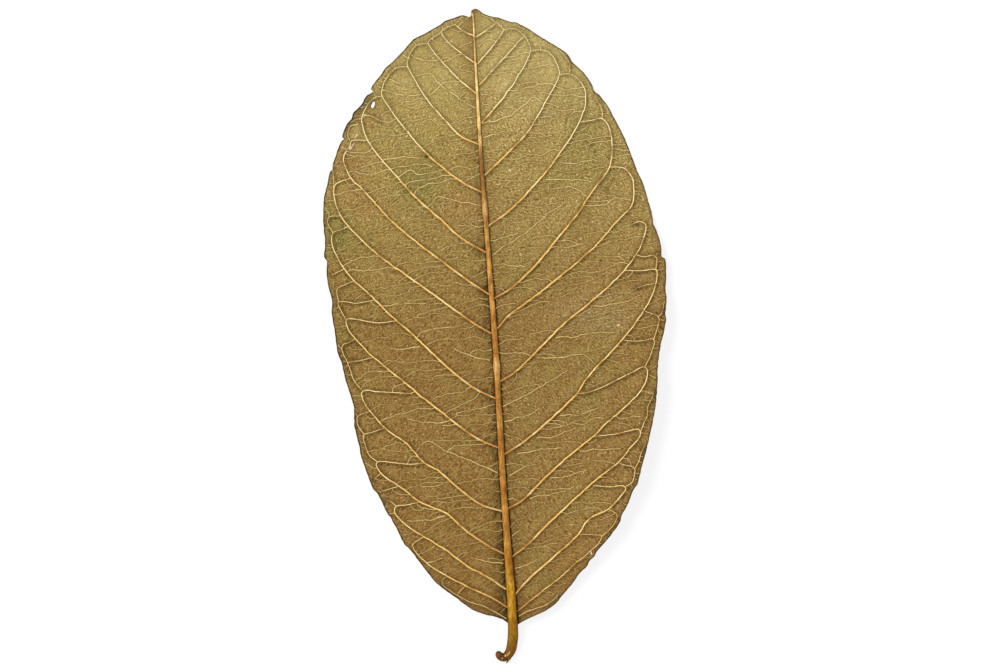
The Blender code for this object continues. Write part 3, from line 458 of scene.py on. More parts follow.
# How they wander, as (pitch, swing), and how near they come before they join or turn.
NET_BENDS = ((0.42, 0.6), (1.3, 0.55), (3.1, 0.55))
NET_CLEARANCE = 0.6
NET_PULL = 2.0
CUT_SHORT, FORKED, NO_VEINLET = 0.2, 0.55, 0.2
FINEST_GAP = 0.55
FINEST_STEP = 0.4
FINEST_CLEARANCE = 0.32
FINEST_LEAN = math.radians(42)


def cross_vein(start, side, own, taken, chance):
    """Grows one cross vein outwards from a spot on the line that it belongs to."""
    drop = chance.uniform(*NET_DROP[side])
    seed = chance.uniform(0, 90)
    line = [start]
    while len(line) < NET_MOST_POINTS:
        x, y = line[-1]
        turn = drop
        for pitch, swing in NET_BENDS:
            turn += swing * noise.noise(Vector((x * pitch, y * pitch, seed)))
        ahead = np.array([side * math.cos(turn), -math.sin(turn)])
        (a, b, _), _, away = rib_tree.find((x, y, 0), filter=lambda i: line_owner[i] != own)
        if away < NET_PULL and len(line) > 2:
            pull = 0.9 * (1 - away / NET_PULL) ** 0.7
            ahead = ahead * (1 - pull) + np.array([a - x, b - y]) / max(away, 0.01) * pull
            ahead /= max(np.linalg.norm(ahead), 0.01)
        line.append(line[-1] + ahead * min(NET_STEP, max(away, 0.1)))
        x, y = line[-1]
        if away < NET_STEP or gap_to(margin_tree, x, y) < NET_STEP + 0.05:
            break
        met = taken.close_to(x, y, NET_CLEARANCE) if len(line) > 3 else None
        if met:
            line.append(np.array(met))
            break
    return np.array(line)


chance = np.random.default_rng(NET_SEED)
taken = Drawing()
for line in slim_lines:
    taken.add(line)
net_lines = []
for own, (line, (vein, _)) in enumerate(zip(rib_lines, VEINS)):
    side = -1 if own < len(LEFT_VEINS) else 1
    # The rungs from the midrib stand between this vein's foot and that of the next one.
    following = VEINS[(own + 1) % len(VEINS)][0][0][1]
    rungs = np.arange(vein[0][1] + 1.0, following - 0.4, 0.4)
    from_midrib = [(np.array([side * 0.6 - 0.2, y]), -1) for y in rungs]
    from_vein = [(spot, own) for spot in line[3: len(smooth_line(vein, LINE_STEP))]]
    for starts in (from_midrib, from_vein):
        wait = chance.uniform(0.3, 1.2)
        for (a, _), (b, root) in zip(starts, starts[1:]):
            wait -= np.linalg.norm(b - a)
            if wait > 0:
                continue
            wait = chance.uniform(*NET_GAPS)
            grown = cross_vein(b, side, root, taken, chance)
            if len(grown) < NET_LEAST_POINTS:
                continue
            if chance.random() < CUT_SHORT:
                grown = grown[: -(len(grown) // 4)]
            taken.add(grown)
            net_lines.append(grown)
            if len(grown) > 10 and chance.random() < FORKED:
                fork = chance.integers(3, len(grown) - 5)
                branch = cross_vein(grown[fork], side, root, taken, chance)
                if len(branch) > 5:
                    taken.add(branch[3:])
                    net_lines.append(branch)
# Short veinlets from the arches to the margin.
for spot, across in zip(margin[::3], sideways(margin)[::3]):
    inward = across if within(np.array([spot + across]), margin)[0] else -across
    (x, y, _), _, reach = rib_tree.find((*spot, 0))
    if chance.random() < NO_VEINLET or spot[1] < 3 or not 0.8 < reach < 6:
        continue
    end = np.array([x, y]) + chance.uniform(-0.4, 0.4, 2)
    start = spot + inward * 0.35
    line = wandering(
        smooth_line([start, (start + end) / 2, end], NET_STEP), SLIM_WANDER, chance.uniform(0, 50)
    )
    if not any(taken.close_to(a, b, 0.7) for a, b in line[:-1]):
        taken.add(line)
        net_lines.append(line)
net_tree = tree_of(net_lines + slim_lines)

# The finest veins grow from all the others, across the side veins, until they meet a line.
grown_lines = net_lines + slim_lines + woody_lines
grown_tree = tree_of(grown_lines)
finest_lines = []
finest_taken = Drawing()
for line in grown_lines:
    wait = chance.uniform(0, FINEST_GAP)
    for a, b in zip(line, line[1:]):
        wait -= np.linalg.norm(b - a)
        if wait > 0:
            continue
        wait = FINEST_GAP * chance.uniform(0.6, 1.5)
        heading = math.pi - FINEST_LEAN if b[0] > -0.2 else FINEST_LEAN
        heading += chance.uniform(-0.4, 0.4) + math.pi * chance.integers(0, 2)
        twig = [b]
        for _ in range(chance.integers(3, 9)):
            heading += chance.uniform(-0.35, 0.35)
            x, y = twig[-1] + FINEST_STEP * np.array([math.cos(heading), math.sin(heading)])
            off_blade = gap_to(margin_tree, x, y) < 0.5
            if off_blade or finest_taken.close_to(x, y, FINEST_CLEARANCE):
                break
            twig.append(np.array([x, y]))
            if len(twig) > 2 and gap_to(grown_tree, x, y) < 0.3:
                break
        if len(twig) > 2:
            finest_taken.add(twig[1:])
            finest_lines.append(np.array(twig))

# The blade's flat plan: the margin and rows close inside it, rows along the veins, and evenly
# spaced points over the rest. The rows' places are distances from the line that they follow.
FINE = 0.5
ROW_PITCH = FINE * 0.866
MARGIN_ROWS = (0.16, 0.36, 0.64)
MIDRIB_ROWS = (-1.5, -1.1, -0.8, -0.5, 0.0, 0.5, 0.8, 1.1, 1.5)
VEIN_ROWS = (0.0, 0.28, -0.28, 0.55, -0.55, 0.9, -0.9)
MARGIN_CLEARANCE, VEIN_CLEARANCE, GRID_CLEARANCE = 0.12, 0.2, 0.36
GRID_SHIFT = 0.06
plan = Drawing()
inward = sideways(margin)
if not within((margin + inward * 0.5)[:1], margin)[0]:
    inward = -inward
plan.add(margin)
for depth in MARGIN_ROWS:
    plan.add(margin + inward * depth, MARGIN_CLEARANCE)
for line, offsets in [(midrib_line, MIDRIB_ROWS)] + [(line, VEIN_ROWS) for line in woody_lines]:
    for off in offsets:
        plan.add(line + sideways(line) * off, VEIN_CLEARANCE)
rows = int(BLADE_LENGTH / ROW_PITCH) + 8
columns = int(2 * BLADE_HALF_WIDTH / FINE) + 12
grid = np.array([
    ((column - columns / 2 + (row % 2) / 2) * FINE, (row - 3) * ROW_PITCH)
    for row in range(rows) for column in range(columns)
])
grid = grid + chance.uniform(-GRID_SHIFT, GRID_SHIFT, grid.shape)
plan.add(grid[within(grid, margin)], GRID_CLEARANCE)
rim_count = len(margin)
spots = np.array(plan.points)
keep = within(spots, margin)
keep[:rim_count] = True
spots = spots[keep]
edges = [(i, (i + 1) % rim_count) for i in range(rim_count)]
flat, _, faces, _, _, _ = delaunay_2d_cdt(
    [Vector(p) for p in spots], edges, [list(range(rim_count))], 1, 1e-6
)
used, faces = np.unique(np.array(faces), return_inverse=True)
flat = np.array(flat)[used]
faces = faces.reshape(-1, 3)

# Each flat point is lifted to its height, once for each face of the sheet. The veins swell the
# face that looks up and groove the face below, by (height, width).
RIB_SWELL, NET_SWELL, MIDRIB_SWELL = (0.14, 0.45), (0.06, 0.3), (0.2, 0.35)
RIB_GROOVE, NET_GROOVE, MIDRIB_GROOVE = (0.16, 0.5), (0.05, 0.35), 0.22
QUILT_DEPTH, QUILT_WIDTH = 0.3, 2.4
PUCKER = 0.09
# Where the upper left margin has rolled under, how far that reaches and how deep it goes.
ROLL_PLACE, ROLL_REACH, ROLL_WIDTH, ROLL_DEPTH = (-25.0, 105.6), 5.4, 1.8, 0.45
TOWARDS_LOWER_RIGHT = np.array((0.75, -0.66))
rib_away = gaps_to(rib_tree, flat)
net_away = gaps_to(net_tree, flat)
midrib_away = gaps_to(midrib_tree, flat)
quilt_away = gaps_to(quilt_tree, flat)
edge_away = gaps_to(margin_tree, flat)
nearest = np.array([rib_tree.find((x, y, 0))[0][:2] for x, y in flat])
# Which points lie to the lower right of a vein, away from the lamp, for the painted shadow.
lower_right = (flat - nearest) @ TOWARDS_LOWER_RIGHT / np.maximum(rib_away, 0.05)
middle = sheet_height(flat) - QUILT_DEPTH * (1 - hump(quilt_away, 1, QUILT_WIDTH))
pucker = np.array([rippled(x, y, (0.28, 1.7, 1), (0.75, 5.0, 0.5)) for x, y in flat])
middle = np.maximum(middle + PUCKER * pucker, SOLID_SHEET / 2 + 0.03)
for seat in SEATS:
    ease = ramp(np.linalg.norm(flat - np.array(seat), axis=1) - SEAT_RADIUS, 0, SEAT_FADE)
    ease = ease * ease * (3 - 2 * ease)
    middle = SOLID_SHEET / 2 + (middle - SOLID_SHEET / 2) * ease
rolled = np.exp(-((np.linalg.norm(flat - np.array(ROLL_PLACE), axis=1) / ROLL_REACH) ** 6))
rolled = rolled * np.clip((ROLL_WIDTH - edge_away) / 0.8, 0, 1)
middle = np.maximum(middle - ROLL_DEPTH * rolled, SOLID_SHEET / 2)
thinning = np.clip(1 - edge_away / 0.7, 0, 1) ** 2
thickness = DRY_SHEET + (RIM_SHEET - DRY_SHEET) * thinning
midrib_width = read_off([(y, w) for _, y, w in MIDRIB], flat[:, 1])
under = middle - SOLID_SHEET / 2 + (DRY_SHEET - thickness) * 0.3
over = under + thickness
inside = ramp(edge_away, 0, 0.8)
over += inside * (hump(rib_away, *RIB_SWELL) + hump(net_away, *NET_SWELL))
over += hump(np.maximum(midrib_away - midrib_width * 0.4, 0), *MIDRIB_SWELL)
under += inside * (hump(rib_away, *RIB_GROOVE) + hump(net_away, *NET_GROOVE))
under += hump(midrib_away, MIDRIB_GROOVE, 0.2 + midrib_width * 0.5)
count = len(flat)
shifted = flat - MIDDLE
vertices = np.vstack([np.column_stack([shifted, over]), np.column_stack([shifted, under])]) * MM
directed = np.vstack([faces[:, [0, 1]], faces[:, [1, 2]], faces[:, [2, 0]]])
known = set(map(tuple, directed))
open_edges = np.array([(a, b) for a, b in known if (b, a) not in known])
walls = np.vstack([
    np.column_stack([open_edges[:, 0], count + open_edges[:, 0], count + open_edges[:, 1]]),
    np.column_stack([open_edges[:, 0], count + open_edges[:, 1], open_edges[:, 1]]),
])
skin = np.vstack([faces, faces[:, ::-1] + count, walls])


def placed(name, data):
    """Puts a mesh, a lamp or a camera into the scene."""
    thing = bpy.data.objects.new(name, data)
    bpy.context.scene.collection.objects.link(thing)
    return thing


def new_piece(name, points, joins, faces):
    """Makes a mesh and puts it into the scene."""
    mesh = bpy.data.meshes.new(name)
    mesh.from_pydata(points, joins, faces)
    return placed(name, mesh)


def carry(piece, name, values):
    """Writes one number for each point of a piece, for its material or its tree to read."""
    layer = piece.data.attributes.new(name, "FLOAT", "POINT")
    layer.data.foreach_set("value", np.asarray(values, np.float32))


def corners_of(mesh):
    """The point at each face corner of a mesh."""
    points = np.empty(len(mesh.loops), np.int32)
    mesh.loops.foreach_get("vertex_index", points)
    return points


def lay_map(mesh, places):
    """Writes the map that the finish is baked on, as one place for each face corner."""
    layer = mesh.uv_layers.get("OFBake") or mesh.uv_layers.new(name="OFBake")
    layer.data.foreach_set("uv", np.asarray(places, np.float32).ravel())


blade = new_piece("leaf_blade", vertices, [], skin.tolist())
blade.data.shade_smooth()
for name, values in (
    ("rib_away", rib_away), ("net_away", net_away),
    ("midrib_away", np.maximum(midrib_away - midrib_width / 2, 0)), ("edge_away", edge_away),
    ("rolled", rolled), ("lower_right", np.clip(lower_right, 0, 1)),
):
    carry(blade, name, np.tile(values, 2))
carry(blade, "underside_up", np.repeat([1.0, 0.0], count))
# One half of the map is the face that looks up, and the other half is the face below.
corner_spots = flat[corners_of(blade.data) % count]
facing_up = np.repeat(np.arange(len(skin)) < len(faces), 3)
low, high = flat.min(axis=0) - 0.5, flat.max(axis=0) + 0.5
u, v = ((corner_spots - low) / (high - low)).T
lay_map(blade.data, np.column_stack([u / 2 + np.where(facing_up, 0, 0.5), v]))


class Shade:
    """A value in a node tree. Sums and products of values put in the Math nodes they need."""

    def __init__(self, bench, socket):
        self.bench = bench
        self.socket = socket

    def also(self, name):
        """Another output of the same node."""
        return Shade(self.bench, self.socket.node.outputs[name])

    def maths(self, operation, *values):
        settings = {"operation": operation}
        return self.bench.node("ShaderNodeMath", settings, dict(enumerate(values)))

    def __add__(self, other):
        return self.maths("ADD", self, other)

    def __sub__(self, other):
        return self.maths("SUBTRACT", self, other)

    def __rsub__(self, other):
        return self.maths("SUBTRACT", other, self)

    def __mul__(self, other):
        return self.maths("MULTIPLY", self, other)

    __radd__, __rmul__ = __add__, __mul__

    def __abs__(self):
        return self.maths("ABSOLUTE", self)

    def exponent(self):
        return self.maths("EXPONENT", self)

    def rise(self, start, end):
        """Rises smoothly from 0 at start to 1 at end."""
        settings = {"interpolation_type": "SMOOTHSTEP"}
        return self.bench.node("ShaderNodeMapRange", settings, {0: self, 1: start, 2: end})

    def fall(self, start, end):
        """Falls smoothly from 1 at start to 0 at end."""
        return 1 - self.rise(start, end)

    def part(self, axis):
        """One of the three numbers of a place."""
        return self.bench.node("ShaderNodeSeparateXYZ", {}, {0: self}, axis)

    def vector(self, operation, sockets=(), output=0):
        """This colour or place after one step of vector maths."""
        sockets = {0: self, **dict(sockets)}
        return self.bench.node("ShaderNodeVectorMath", {"operation": operation}, sockets, output)

    def times(self, factor):
        """This colour or place times another one."""
        return self.vector("MULTIPLY", {1: factor})

    def brightened(self, factor):
        """This colour times a number."""
        return self.vector("SCALE", {3: factor})

    def stained(self, *stains):
        """This colour with others over it, each given as its share and its screen tones."""
        tone = self
        for share, *tones in stains:
            tone = self.bench.mix(share, tone, srgb(*tones))
        return tone

    def mark(self, centre, length, width=None, turn=0.0, softness=0.4):
        """1 at flat places inside an oval of these half sizes on the drawing, and 0 outside."""
        at = (centre[0] - MIDDLE[0], centre[1] - MIDDLE[1], 0)
        oval = self.bench.node(
            "ShaderNodeMapping", {"vector_type": "TEXTURE"},
            {0: self, 1: at, 2: (0, 0, turn), 3: (length, width or length, 1)},
        )
        return oval.vector("LENGTH", output=1).fall(1 - softness, 1 + softness)

    def marked(self, places, colour, marks, softness=0.4):
        """This colour with ovals of another one, each given as its share and its own measures."""
        return self.stained(*(
            (places.mark(*oval, softness=softness) * share, *colour) for share, *oval in marks
        ))


class Bench:
    """A node tree that is being made."""

    def __init__(self, tree):
        self.tree = tree

    def fill(self, socket, value):
        """Links a value to a socket, or sets a plain one on it."""
        if isinstance(value, Shade):
            self.tree.links.new(value.socket, socket)
        else:
            socket.default_value = value

    def node(self, kind, settings, sockets, output=0):
        """Adds a node: its settings come first, and then its sockets' values or links."""
        node = self.tree.nodes.new(kind)
        for name, value in settings.items():
            setattr(node, name, value)
        for key, value in sockets.items():
            self.fill(node.inputs[key], value)
        return Shade(self, node.outputs[output]) if node.outputs else None


class Finish(Bench):
    """A material that is being made."""

    def __init__(self, name):
        self.material = bpy.data.materials.new(name)
        self.material.use_nodes = True
        super().__init__(self.material.node_tree)
        self.surface = self.tree.nodes["Principled BSDF"]

    def set(self, name, value):
        self.fill(self.surface.inputs[name], value)

    def attribute(self, name):
        return self.node("ShaderNodeAttribute", {"attribute_name": name}, {}, 2)

    def places(self, stretch=(1000, 1000, 1000)):
        """Places on the piece, in millimetres, or stretched where a pattern needs it."""
        local = self.node("ShaderNodeTexCoord", {}, {}, 3)
        return self.node("ShaderNodeMapping", {}, {0: local, 3: stretch})

    def noise(self, places, scale, detail, roughness):
        sockets = {"Vector": places, "Scale": scale, "Detail": detail, "Roughness": roughness}
        return self.node("ShaderNodeTexNoise", {}, sockets)

    def mix(self, share, first, second):
        """A colour between two others."""
        sockets = {0: share, 6: first, 7: second}
        return self.node("ShaderNodeMix", {"data_type": "RGBA"}, sockets, 2)

    def bump(self, height, strength, distance):
        sockets = {"Strength": strength, "Distance": distance, "Height": height}
        self.set("Normal", self.node("ShaderNodeBump", {}, sockets))


def srgb(red, green, blue):
    """A colour given as it looks on a screen, from 0 to 255."""
    tones = []
    for tone in (red, green, blue):
        tone /= 255
        tones.append(tone / 12.92 if tone <= 0.04045 else ((tone + 0.055) / 1.055) ** 2.4)
    return (*tones, 1.0)


# The dull, mottled finish of the dry underside. Its places are in millimetres from the frame's
# origin, and the single marks are placed on the drawing.
STROKE_LEAN = 0.92
SLIT, SLIT_TURN = (-21.85, 107.2), 1.15
dry = Finish("dry leaf underside")
here = dry.places()
flat_here = here.times((1, 1, 0))
across_leaf, along_leaf = here.part(0), here.part(1)
ribs, net, by_midrib, edge, up_face, rolled_under = (
    dry.attribute(name)
    for name in ("rib_away", "net_away", "midrib_away", "edge_away", "underside_up", "rolled")
)
left_side = across_leaf.fall(-1.6, -0.8)
lit_left = across_leaf.fall(-7, 5)
foot = along_leaf.fall(-46, -26)
lower = along_leaf.fall(6, 36)

# The broad tones, browner at the foot and paler towards the tip, with green and russet patches.
patches = dry.noise(here, 0.075, 3.0, 0.55)
# Painted shade beside the midrib, deeper on its left, and in the angles of the left veins.
painted_midrib_shade = by_midrib.fall(0.0, 2.3) * (0.06 + 0.24 * foot + (0.28 + 0.42 * lower) * left_side)
painted_axil_shade = by_midrib.fall(0.3, 4.0) * ribs.fall(0.6, 2.6) * left_side
tone = dry.mix(along_leaf.rise(-54, -20), srgb(158, 117, 57), srgb(155, 118, 58)).stained(
    (along_leaf.rise(-4, 40), 180, 154, 81),
    (along_leaf.rise(35, 60), 210, 189, 112),
    (patches.rise(0.52, 0.68) * 0.32, 146, 134, 62),
    (patches.fall(0.36, 0.5) * 0.2, 150, 110, 52),
    (by_midrib.fall(0, 5.0) * (0.15 + 0.2 * left_side), 134, 98, 40),
    (painted_midrib_shade, 84, 58, 20),
    (painted_axil_shade * 0.6 * lower, 84, 58, 20),
)
tone = tone.marked(flat_here, (126, 128, 58), [
    (0.45, (-13.2, 89.8), 4.5), (0.2, (21.8, 93), 6), (0.6, (-31.6, 82), 4),
], 0.9)
# A painted highlight where the sheet folds on the right half.
tone = tone.stained((flat_here.mark((20, 61.5), 8, 4, softness=0.8) * 0.35, 180, 154, 98))
tone = tone.marked(flat_here, (172, 120, 70), [
    (0.2, (-3.2, 119.5), 3.4, 4.4), (0.35, (-5.0, 85.2), 4.5, 4.5),
    (0.35, (-27.4, 95.3), 3.5, 4.5), (0.35, (-22.3, 104.6), 3.0, 2.5),
    (0.3, (-25.5, 87.0), 4.5, 3.5),
], 0.8)

# The finest strokes run across the side veins, so they lean the other way on each half. The
# light ones are paler than the sheet, and the dark ones are browner.
folded = dry.node("ShaderNodeCombineXYZ", {}, {0: abs(across_leaf + 1.2), 1: along_leaf})
strokes = dry.node(
    "ShaderNodeMapping", {"vector_type": "TEXTURE"},
    {0: folded, 2: (0, 0, STROKE_LEAN), 3: (1.0, 3.2, 1.0)},
)
drift = dry.node("ShaderNodeTexNoise", {}, {"Vector": here, "Scale": 0.6, "Detail": 1.0}, 1)
bends = drift.vector("MULTIPLY_ADD", {1: (0.8, 0.5, 0.0), 2: strokes})
mottle = dry.noise(here, 0.9, 4.0, 0.62)
grain = dry.noise(bends, 4.4, 1.0, 0.6)
fine = dry.noise(bends, 7.4, 1.0, 0.6)
calm = 1 - 0.5 * along_leaf.rise(38, 58) - 0.3 * along_leaf.fall(-58, -36)
spread = ((mottle - 0.5) * 0.3 + (grain - 0.5) * 2.2 + (fine - 0.5) * 4.0) * calm
# The grain's tint, darker on the left: painted shade that evens out the lamp's light there.
tint = dry.node("ShaderNodeCombineXYZ", {}, {
    channel: (spread * swing).exponent() * (level - left_drop * lit_left)
    for channel, (swing, level, left_drop) in enumerate(
        ((0.95, 1.015, 0.13), (1.1, 1.0, 0.14), (1.6, 1.14, 0.25)))
})
tone = tone.times(tint)
cells = dry.node(
    "ShaderNodeTexVoronoi", {"feature": "DISTANCE_TO_EDGE"}, {"Vector": bends, "Scale": 0.95}
)
patchy = dry.noise(here, 0.5, 2.0, 0.5).rise(0.38, 0.62)
threads = cells.fall(0.02, 0.14) * (0.35 + 0.65 * patchy)

# The pale threads, the painted shadows beside the midrib, the veins and the net, and the dark
# ragged rim, darker on the left, with its roll.
# The veins' painted shadows are deepest on their lower right sides, away from the lamp.
side_shade = 0.3 + 0.12 * lower - 0.12 * foot + 0.16 * dry.attribute("lower_right")
ragged = edge + (dry.noise(here, 1.3, 2.0, 0.5) - 0.5) * 0.5
tone = tone.stained(
    (threads * 0.4, 196, 166, 92),
    (net.fall(0.08, 0.4) * 0.15, 186, 154, 84),
    (by_midrib.fall(0.04, 0.38) * (0.7 + 0.7 * mottle) * (0.4 + 0.6 * lower), 36, 20, 8),
    (ribs.fall(0.38, 1.0) * side_shade * (0.7 + 0.6 * mottle), 66, 44, 14),
    ((net.rise(0.1, 0.2) - net.rise(0.25, 0.5)) * 0.25, 84, 60, 24),
    (ragged.fall(0.12, 0.38) * (0.7 + 0.27 * lit_left), 74, 44, 8),
    (ragged.fall(0.3, 1.6) * 0.12, 110, 80, 36),
    (rolled_under * 0.65, 104, 88, 48),
    (rolled_under.rise(0.5, 0.9) * edge.fall(0.14, 0.42) * 0.9, 58, 34, 12),
    (flat_here.mark((0.0, 125.4), 0.9, softness=0.6) * 0.7, 150, 98, 54),
)

# Dark specks, the worn place round the slit, and pale scars.
tone = tone.marked(flat_here, (24, 14, 6), [
    (share, centre, radius, radius * 0.6, 0.2) for share, centre, radius in (
        (1.0, (-11.7, 95.9), 0.34), (0.9, (-25.8, 79.0), 0.24), (0.9, (-31.0, 66.2), 0.24),
        (0.45, (22.3, 96.2), 0.65), (0.4, (22.7, 94.8), 0.6), (0.45, (24.6, 86.8), 0.7),
        (0.4, (10.3, 32.4), 0.5),
    )
])
tone = tone.stained((flat_here.mark(SLIT, 1.0, 0.6, SLIT_TURN, 0.5) * 0.6, 104, 78, 38))
broken = 0.3 + 1.4 * fine.rise(0.3, 0.6)
for share, *oval in (
    (0.9, (5.2, 92.0), 0.3, 0.2, 0.8), (0.9, (25.4, 59.0), 0.3, 0.2, 0.0),
    (0.8, (-5.0, 119.2), 0.26, 0.2, 0.0), (0.9, (-27.05, 98.7), 0.42, 0.22, 0.9),
    (0.7, (-25.7, 101.2), 0.5, 0.14, 0.9), (0.6, (-26.6, 99.2), 0.7, 0.12, 1.0),
    (0.5, (-24.0, 105.0), 0.8, 0.12, 0.7), (0.7, (16.8, 12.9), 0.5, 0.16, 1.9),
):
    tone = tone.stained((flat_here.mark(*oval) * broken * share, 252, 236, 196))

# The smoother brown of the face below, and the slit, painted the table's white as if seen
# through.
below = dry.mix(
    dry.noise(here, 0.09, 4.0, 0.6).rise(0.35, 0.65), srgb(92, 70, 38), srgb(112, 92, 50)
)
below = below.brightened(0.85 + 0.3 * dry.noise(here, 2.2, 4.0, 0.6)).stained(
    (ribs.fall(0.06, 0.32) * (0.35 + 0.4 * mottle), 150, 122, 74),
    (net.fall(0.05, 0.3) * 0.3, 138, 112, 66),
    (by_midrib.fall(0.0, 0.2) * 0.6, 156, 124, 70),
)
tone = dry.mix(up_face.rise(0.4, 0.6), below, tone).brightened(0.48)
torn = flat_here.mark(SLIT, 0.62, 0.24, SLIT_TURN, 0.6)
frayed = torn + (dry.noise(here, 2.6, 2.0, 0.6) - 0.5) * 1.1
slit = frayed.rise(0.35, 0.6) * torn.rise(0.02, 0.2) * up_face
dry.set("Base Color", dry.mix(slit, tone, (1.0, 1.0, 0.98, 1.0)))
dry.set("Specular IOR Level", 0.04)
dry.set("Roughness", 0.52 + 0.2 * up_face.rise(0.4, 0.6) + (mottle - 0.5) * 0.2)
dry.bump(threads * 0.6 + grain * 0.8 + fine * 0.3, 0.35, 0.00008)
blade.data.materials.append(dry.material)
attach(blade, "root")
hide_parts("leaf")


# The side veins, with their arches and outer loops. Stiff woody strands that stand out of the
# sheet, half sunk in it. They are drawn flat, dropped on the blade and swept.
class Growth(Bench):
    """A Geometry Nodes tree that is being made, with its named inputs."""

    def __init__(self, name, inputs):
        super().__init__(bpy.data.node_groups.new(name, "GeometryNodeTree"))
        sockets = self.tree.interface
        sockets.new_socket("Geometry", in_out="OUTPUT", socket_type="NodeSocketGeometry")
        for label, kind in inputs.items():
            sockets.new_socket(label, in_out="INPUT", socket_type="NodeSocket" + kind)
        self.given = self.node("NodeGroupInput", {}, {}).also

    def carried(self, name):
        """The number that the points carry under a name."""
        settings = {"data_type": "FLOAT"}
        return self.node("GeometryNodeInputNamedAttribute", settings, {"Name": name}, "Attribute")

    def close(self, geometry):
        """Ends the tree: instances are made real, and the finish is put on."""
        geometry = self.node("GeometryNodeRealizeInstances", {}, {0: geometry})
        sockets = {"Geometry": geometry, "Material": self.given("Finish")}
        geometry = self.node("GeometryNodeSetMaterial", {}, sockets)
        self.node("NodeGroupOutput", {}, {0: geometry})
        return self.tree


def strand_tree():
    """Sweeps flat lines into half-sunk strands that lie on the blade."""
    sweep = Growth("strands on the blade", {
        "Lines": "Geometry", "Blade": "Object", "Sides": "Int", "Rise": "Float",
        "Height Share": "Float", "Finish": "Material",
    })
    curve = sweep.node("GeometryNodeMeshToCurve", {}, {"Mesh": sweep.given("Lines")})
    form = sweep.node("GeometryNodeObjectInfo", {}, {0: sweep.given("Blade")}, "Geometry")
    hit = sweep.node("GeometryNodeRaycast", {}, {
        "Target Geometry": form, "Ray Direction": (0, 0, -1), "Ray Length": 0.1,
    }, "Is Hit")
    girth = sweep.carried("girth")
    lift = sweep.node("ShaderNodeCombineXYZ", {}, {2: girth * sweep.given("Rise")})
    missed = sweep.node("FunctionNodeBooleanMath", {"operation": "NOT"}, {0: hit})
    curve = sweep.node("GeometryNodeDeleteGeometry", {"domain": "POINT"}, {
        "Geometry": curve, "Selection": missed,
    })
    curve = sweep.node("GeometryNodeSetPosition", {}, {
        "Geometry": curve, "Position": hit.also("Hit Position"), "Offset": lift,
    })
    curve = sweep.node("GeometryNodeSetCurveNormal", {}, {"Curve": curve})
    ring = sweep.node("GeometryNodeCurvePrimitiveCircle", {}, {
        "Resolution": sweep.given("Sides"), "Radius": 1.0,
    })
    flatten = sweep.node("ShaderNodeCombineXYZ", {}, {
        0: 1.0, 1: sweep.given("Height Share"), 2: 1.0,
    })
    ring = sweep.node("GeometryNodeTransform", {}, {"Geometry": ring, "Scale": flatten})
    strands = sweep.node("GeometryNodeCurveToMesh", {}, {
        "Curve": curve, "Profile Curve": ring, "Scale": girth, "Fill Caps": True,
    })
    return sweep.close(sweep.node("GeometryNodeSetShadeSmooth", {}, {0: strands}))


def made_solid(piece, tree, given):
    """Runs a tree on a piece with the given inputs, and keeps the result as a plain mesh."""
    step = piece.modifiers.new("made", "NODES")
    step.node_group = tree
    for socket in tree.interface.items_tree:
        if socket.in_out == "INPUT" and socket.name in given:
            step[socket.identifier] = given[socket.name]
    view = bpy.context.evaluated_depsgraph_get()
    result = bpy.data.meshes.new_from_object(piece.evaluated_get(view))
    piece.modifiers.clear()
    piece.data = result
    result.name = piece.name
    # How much each point faces up; the strand finishes paint shade where it faces sideways.
    facing = np.empty(len(result.vertices) * 3, np.float32)
    result.vertices.foreach_get("normal", facing)
    carry(piece, "crown", facing[2::3])


# In metres: how high the lines start, and how much the map of a swept piece covers.
LINES_HEIGHT = 0.05
MAP_SPREAD = np.array([0.074, 0.14])


def strand_piece(name, lines, girths, pales, finish, sides, rise, height_share):
    """Draws separate lines above the blade, sweeps them onto it, and maps them from above."""
    points, joins = [], []
    for line in lines:
        first = len(points)
        points += [(*(spot - MIDDLE) * MM, LINES_HEIGHT) for spot in line]
        joins += [(i, i + 1) for i in range(first, len(points) - 1)]
    piece = new_piece(name, points, joins, [])
    carry(piece, "girth", np.concatenate(girths) * MM)
    carry(piece, "pale", np.concatenate(pales))
    made_solid(piece, strands, {
        "Blade": blade, "Sides": sides, "Rise": rise, "Height Share": height_share,
        "Finish": finish,
    })
    places = np.empty(len(piece.data.vertices) * 3)
    piece.data.vertices.foreach_get("co", places)
    lay_map(piece.data, places.reshape(-1, 3)[corners_of(piece.data), :2] / MAP_SPREAD + 0.5)
    return piece


def strand_finish(name, low_tone, middle_tone, pale_tone, blotch_and_shade_tone, fibre):
    """Woody fibre, browner by the midrib and paler towards the margin."""
    finish = Finish(name)
    here = finish.places()
    pale = finish.attribute("pale")
    blotch = finish.noise(here, 0.45, 3.0, 0.6)
    fibres = finish.noise(here, fibre, 3.0, 0.6)
    tone = finish.mix(pale.rise(0.0, 0.35), srgb(*low_tone), srgb(*middle_tone)).stained(
        (pale.rise(0.4, 1.0), *pale_tone),
        (blotch.rise(0.53, 0.63) * 0.6, *blotch_and_shade_tone),
        (blotch.fall(0.37, 0.47) * (0.32 + 0.5 * pale), *pale_tone),
        # Painted shade on the strands' flanks, where they turn away from above.
        (finish.attribute("crown").fall(0.15, 0.8) * 0.62, *blotch_and_shade_tone),
    )
    # Darker on the left: painted shade that evens out the lamp's light there.
    lit_left = here.part(0).fall(-7, 5)
    finish.set("Base Color", tone.brightened(0.52 - 0.05 * lit_left + 0.42 * fibres))
    finish.set("Roughness", 0.42 + 0.25 * fibres)
    finish.set("Specular IOR Level", 0.12)
    finish.bump(fibres, 0.3, 0.00005)
    return finish.material


def tapered(girth, along):
    """Half widths that go evenly from a strand's foot to its end."""
    return girth[0] + (girth[1] - girth[0]) * along


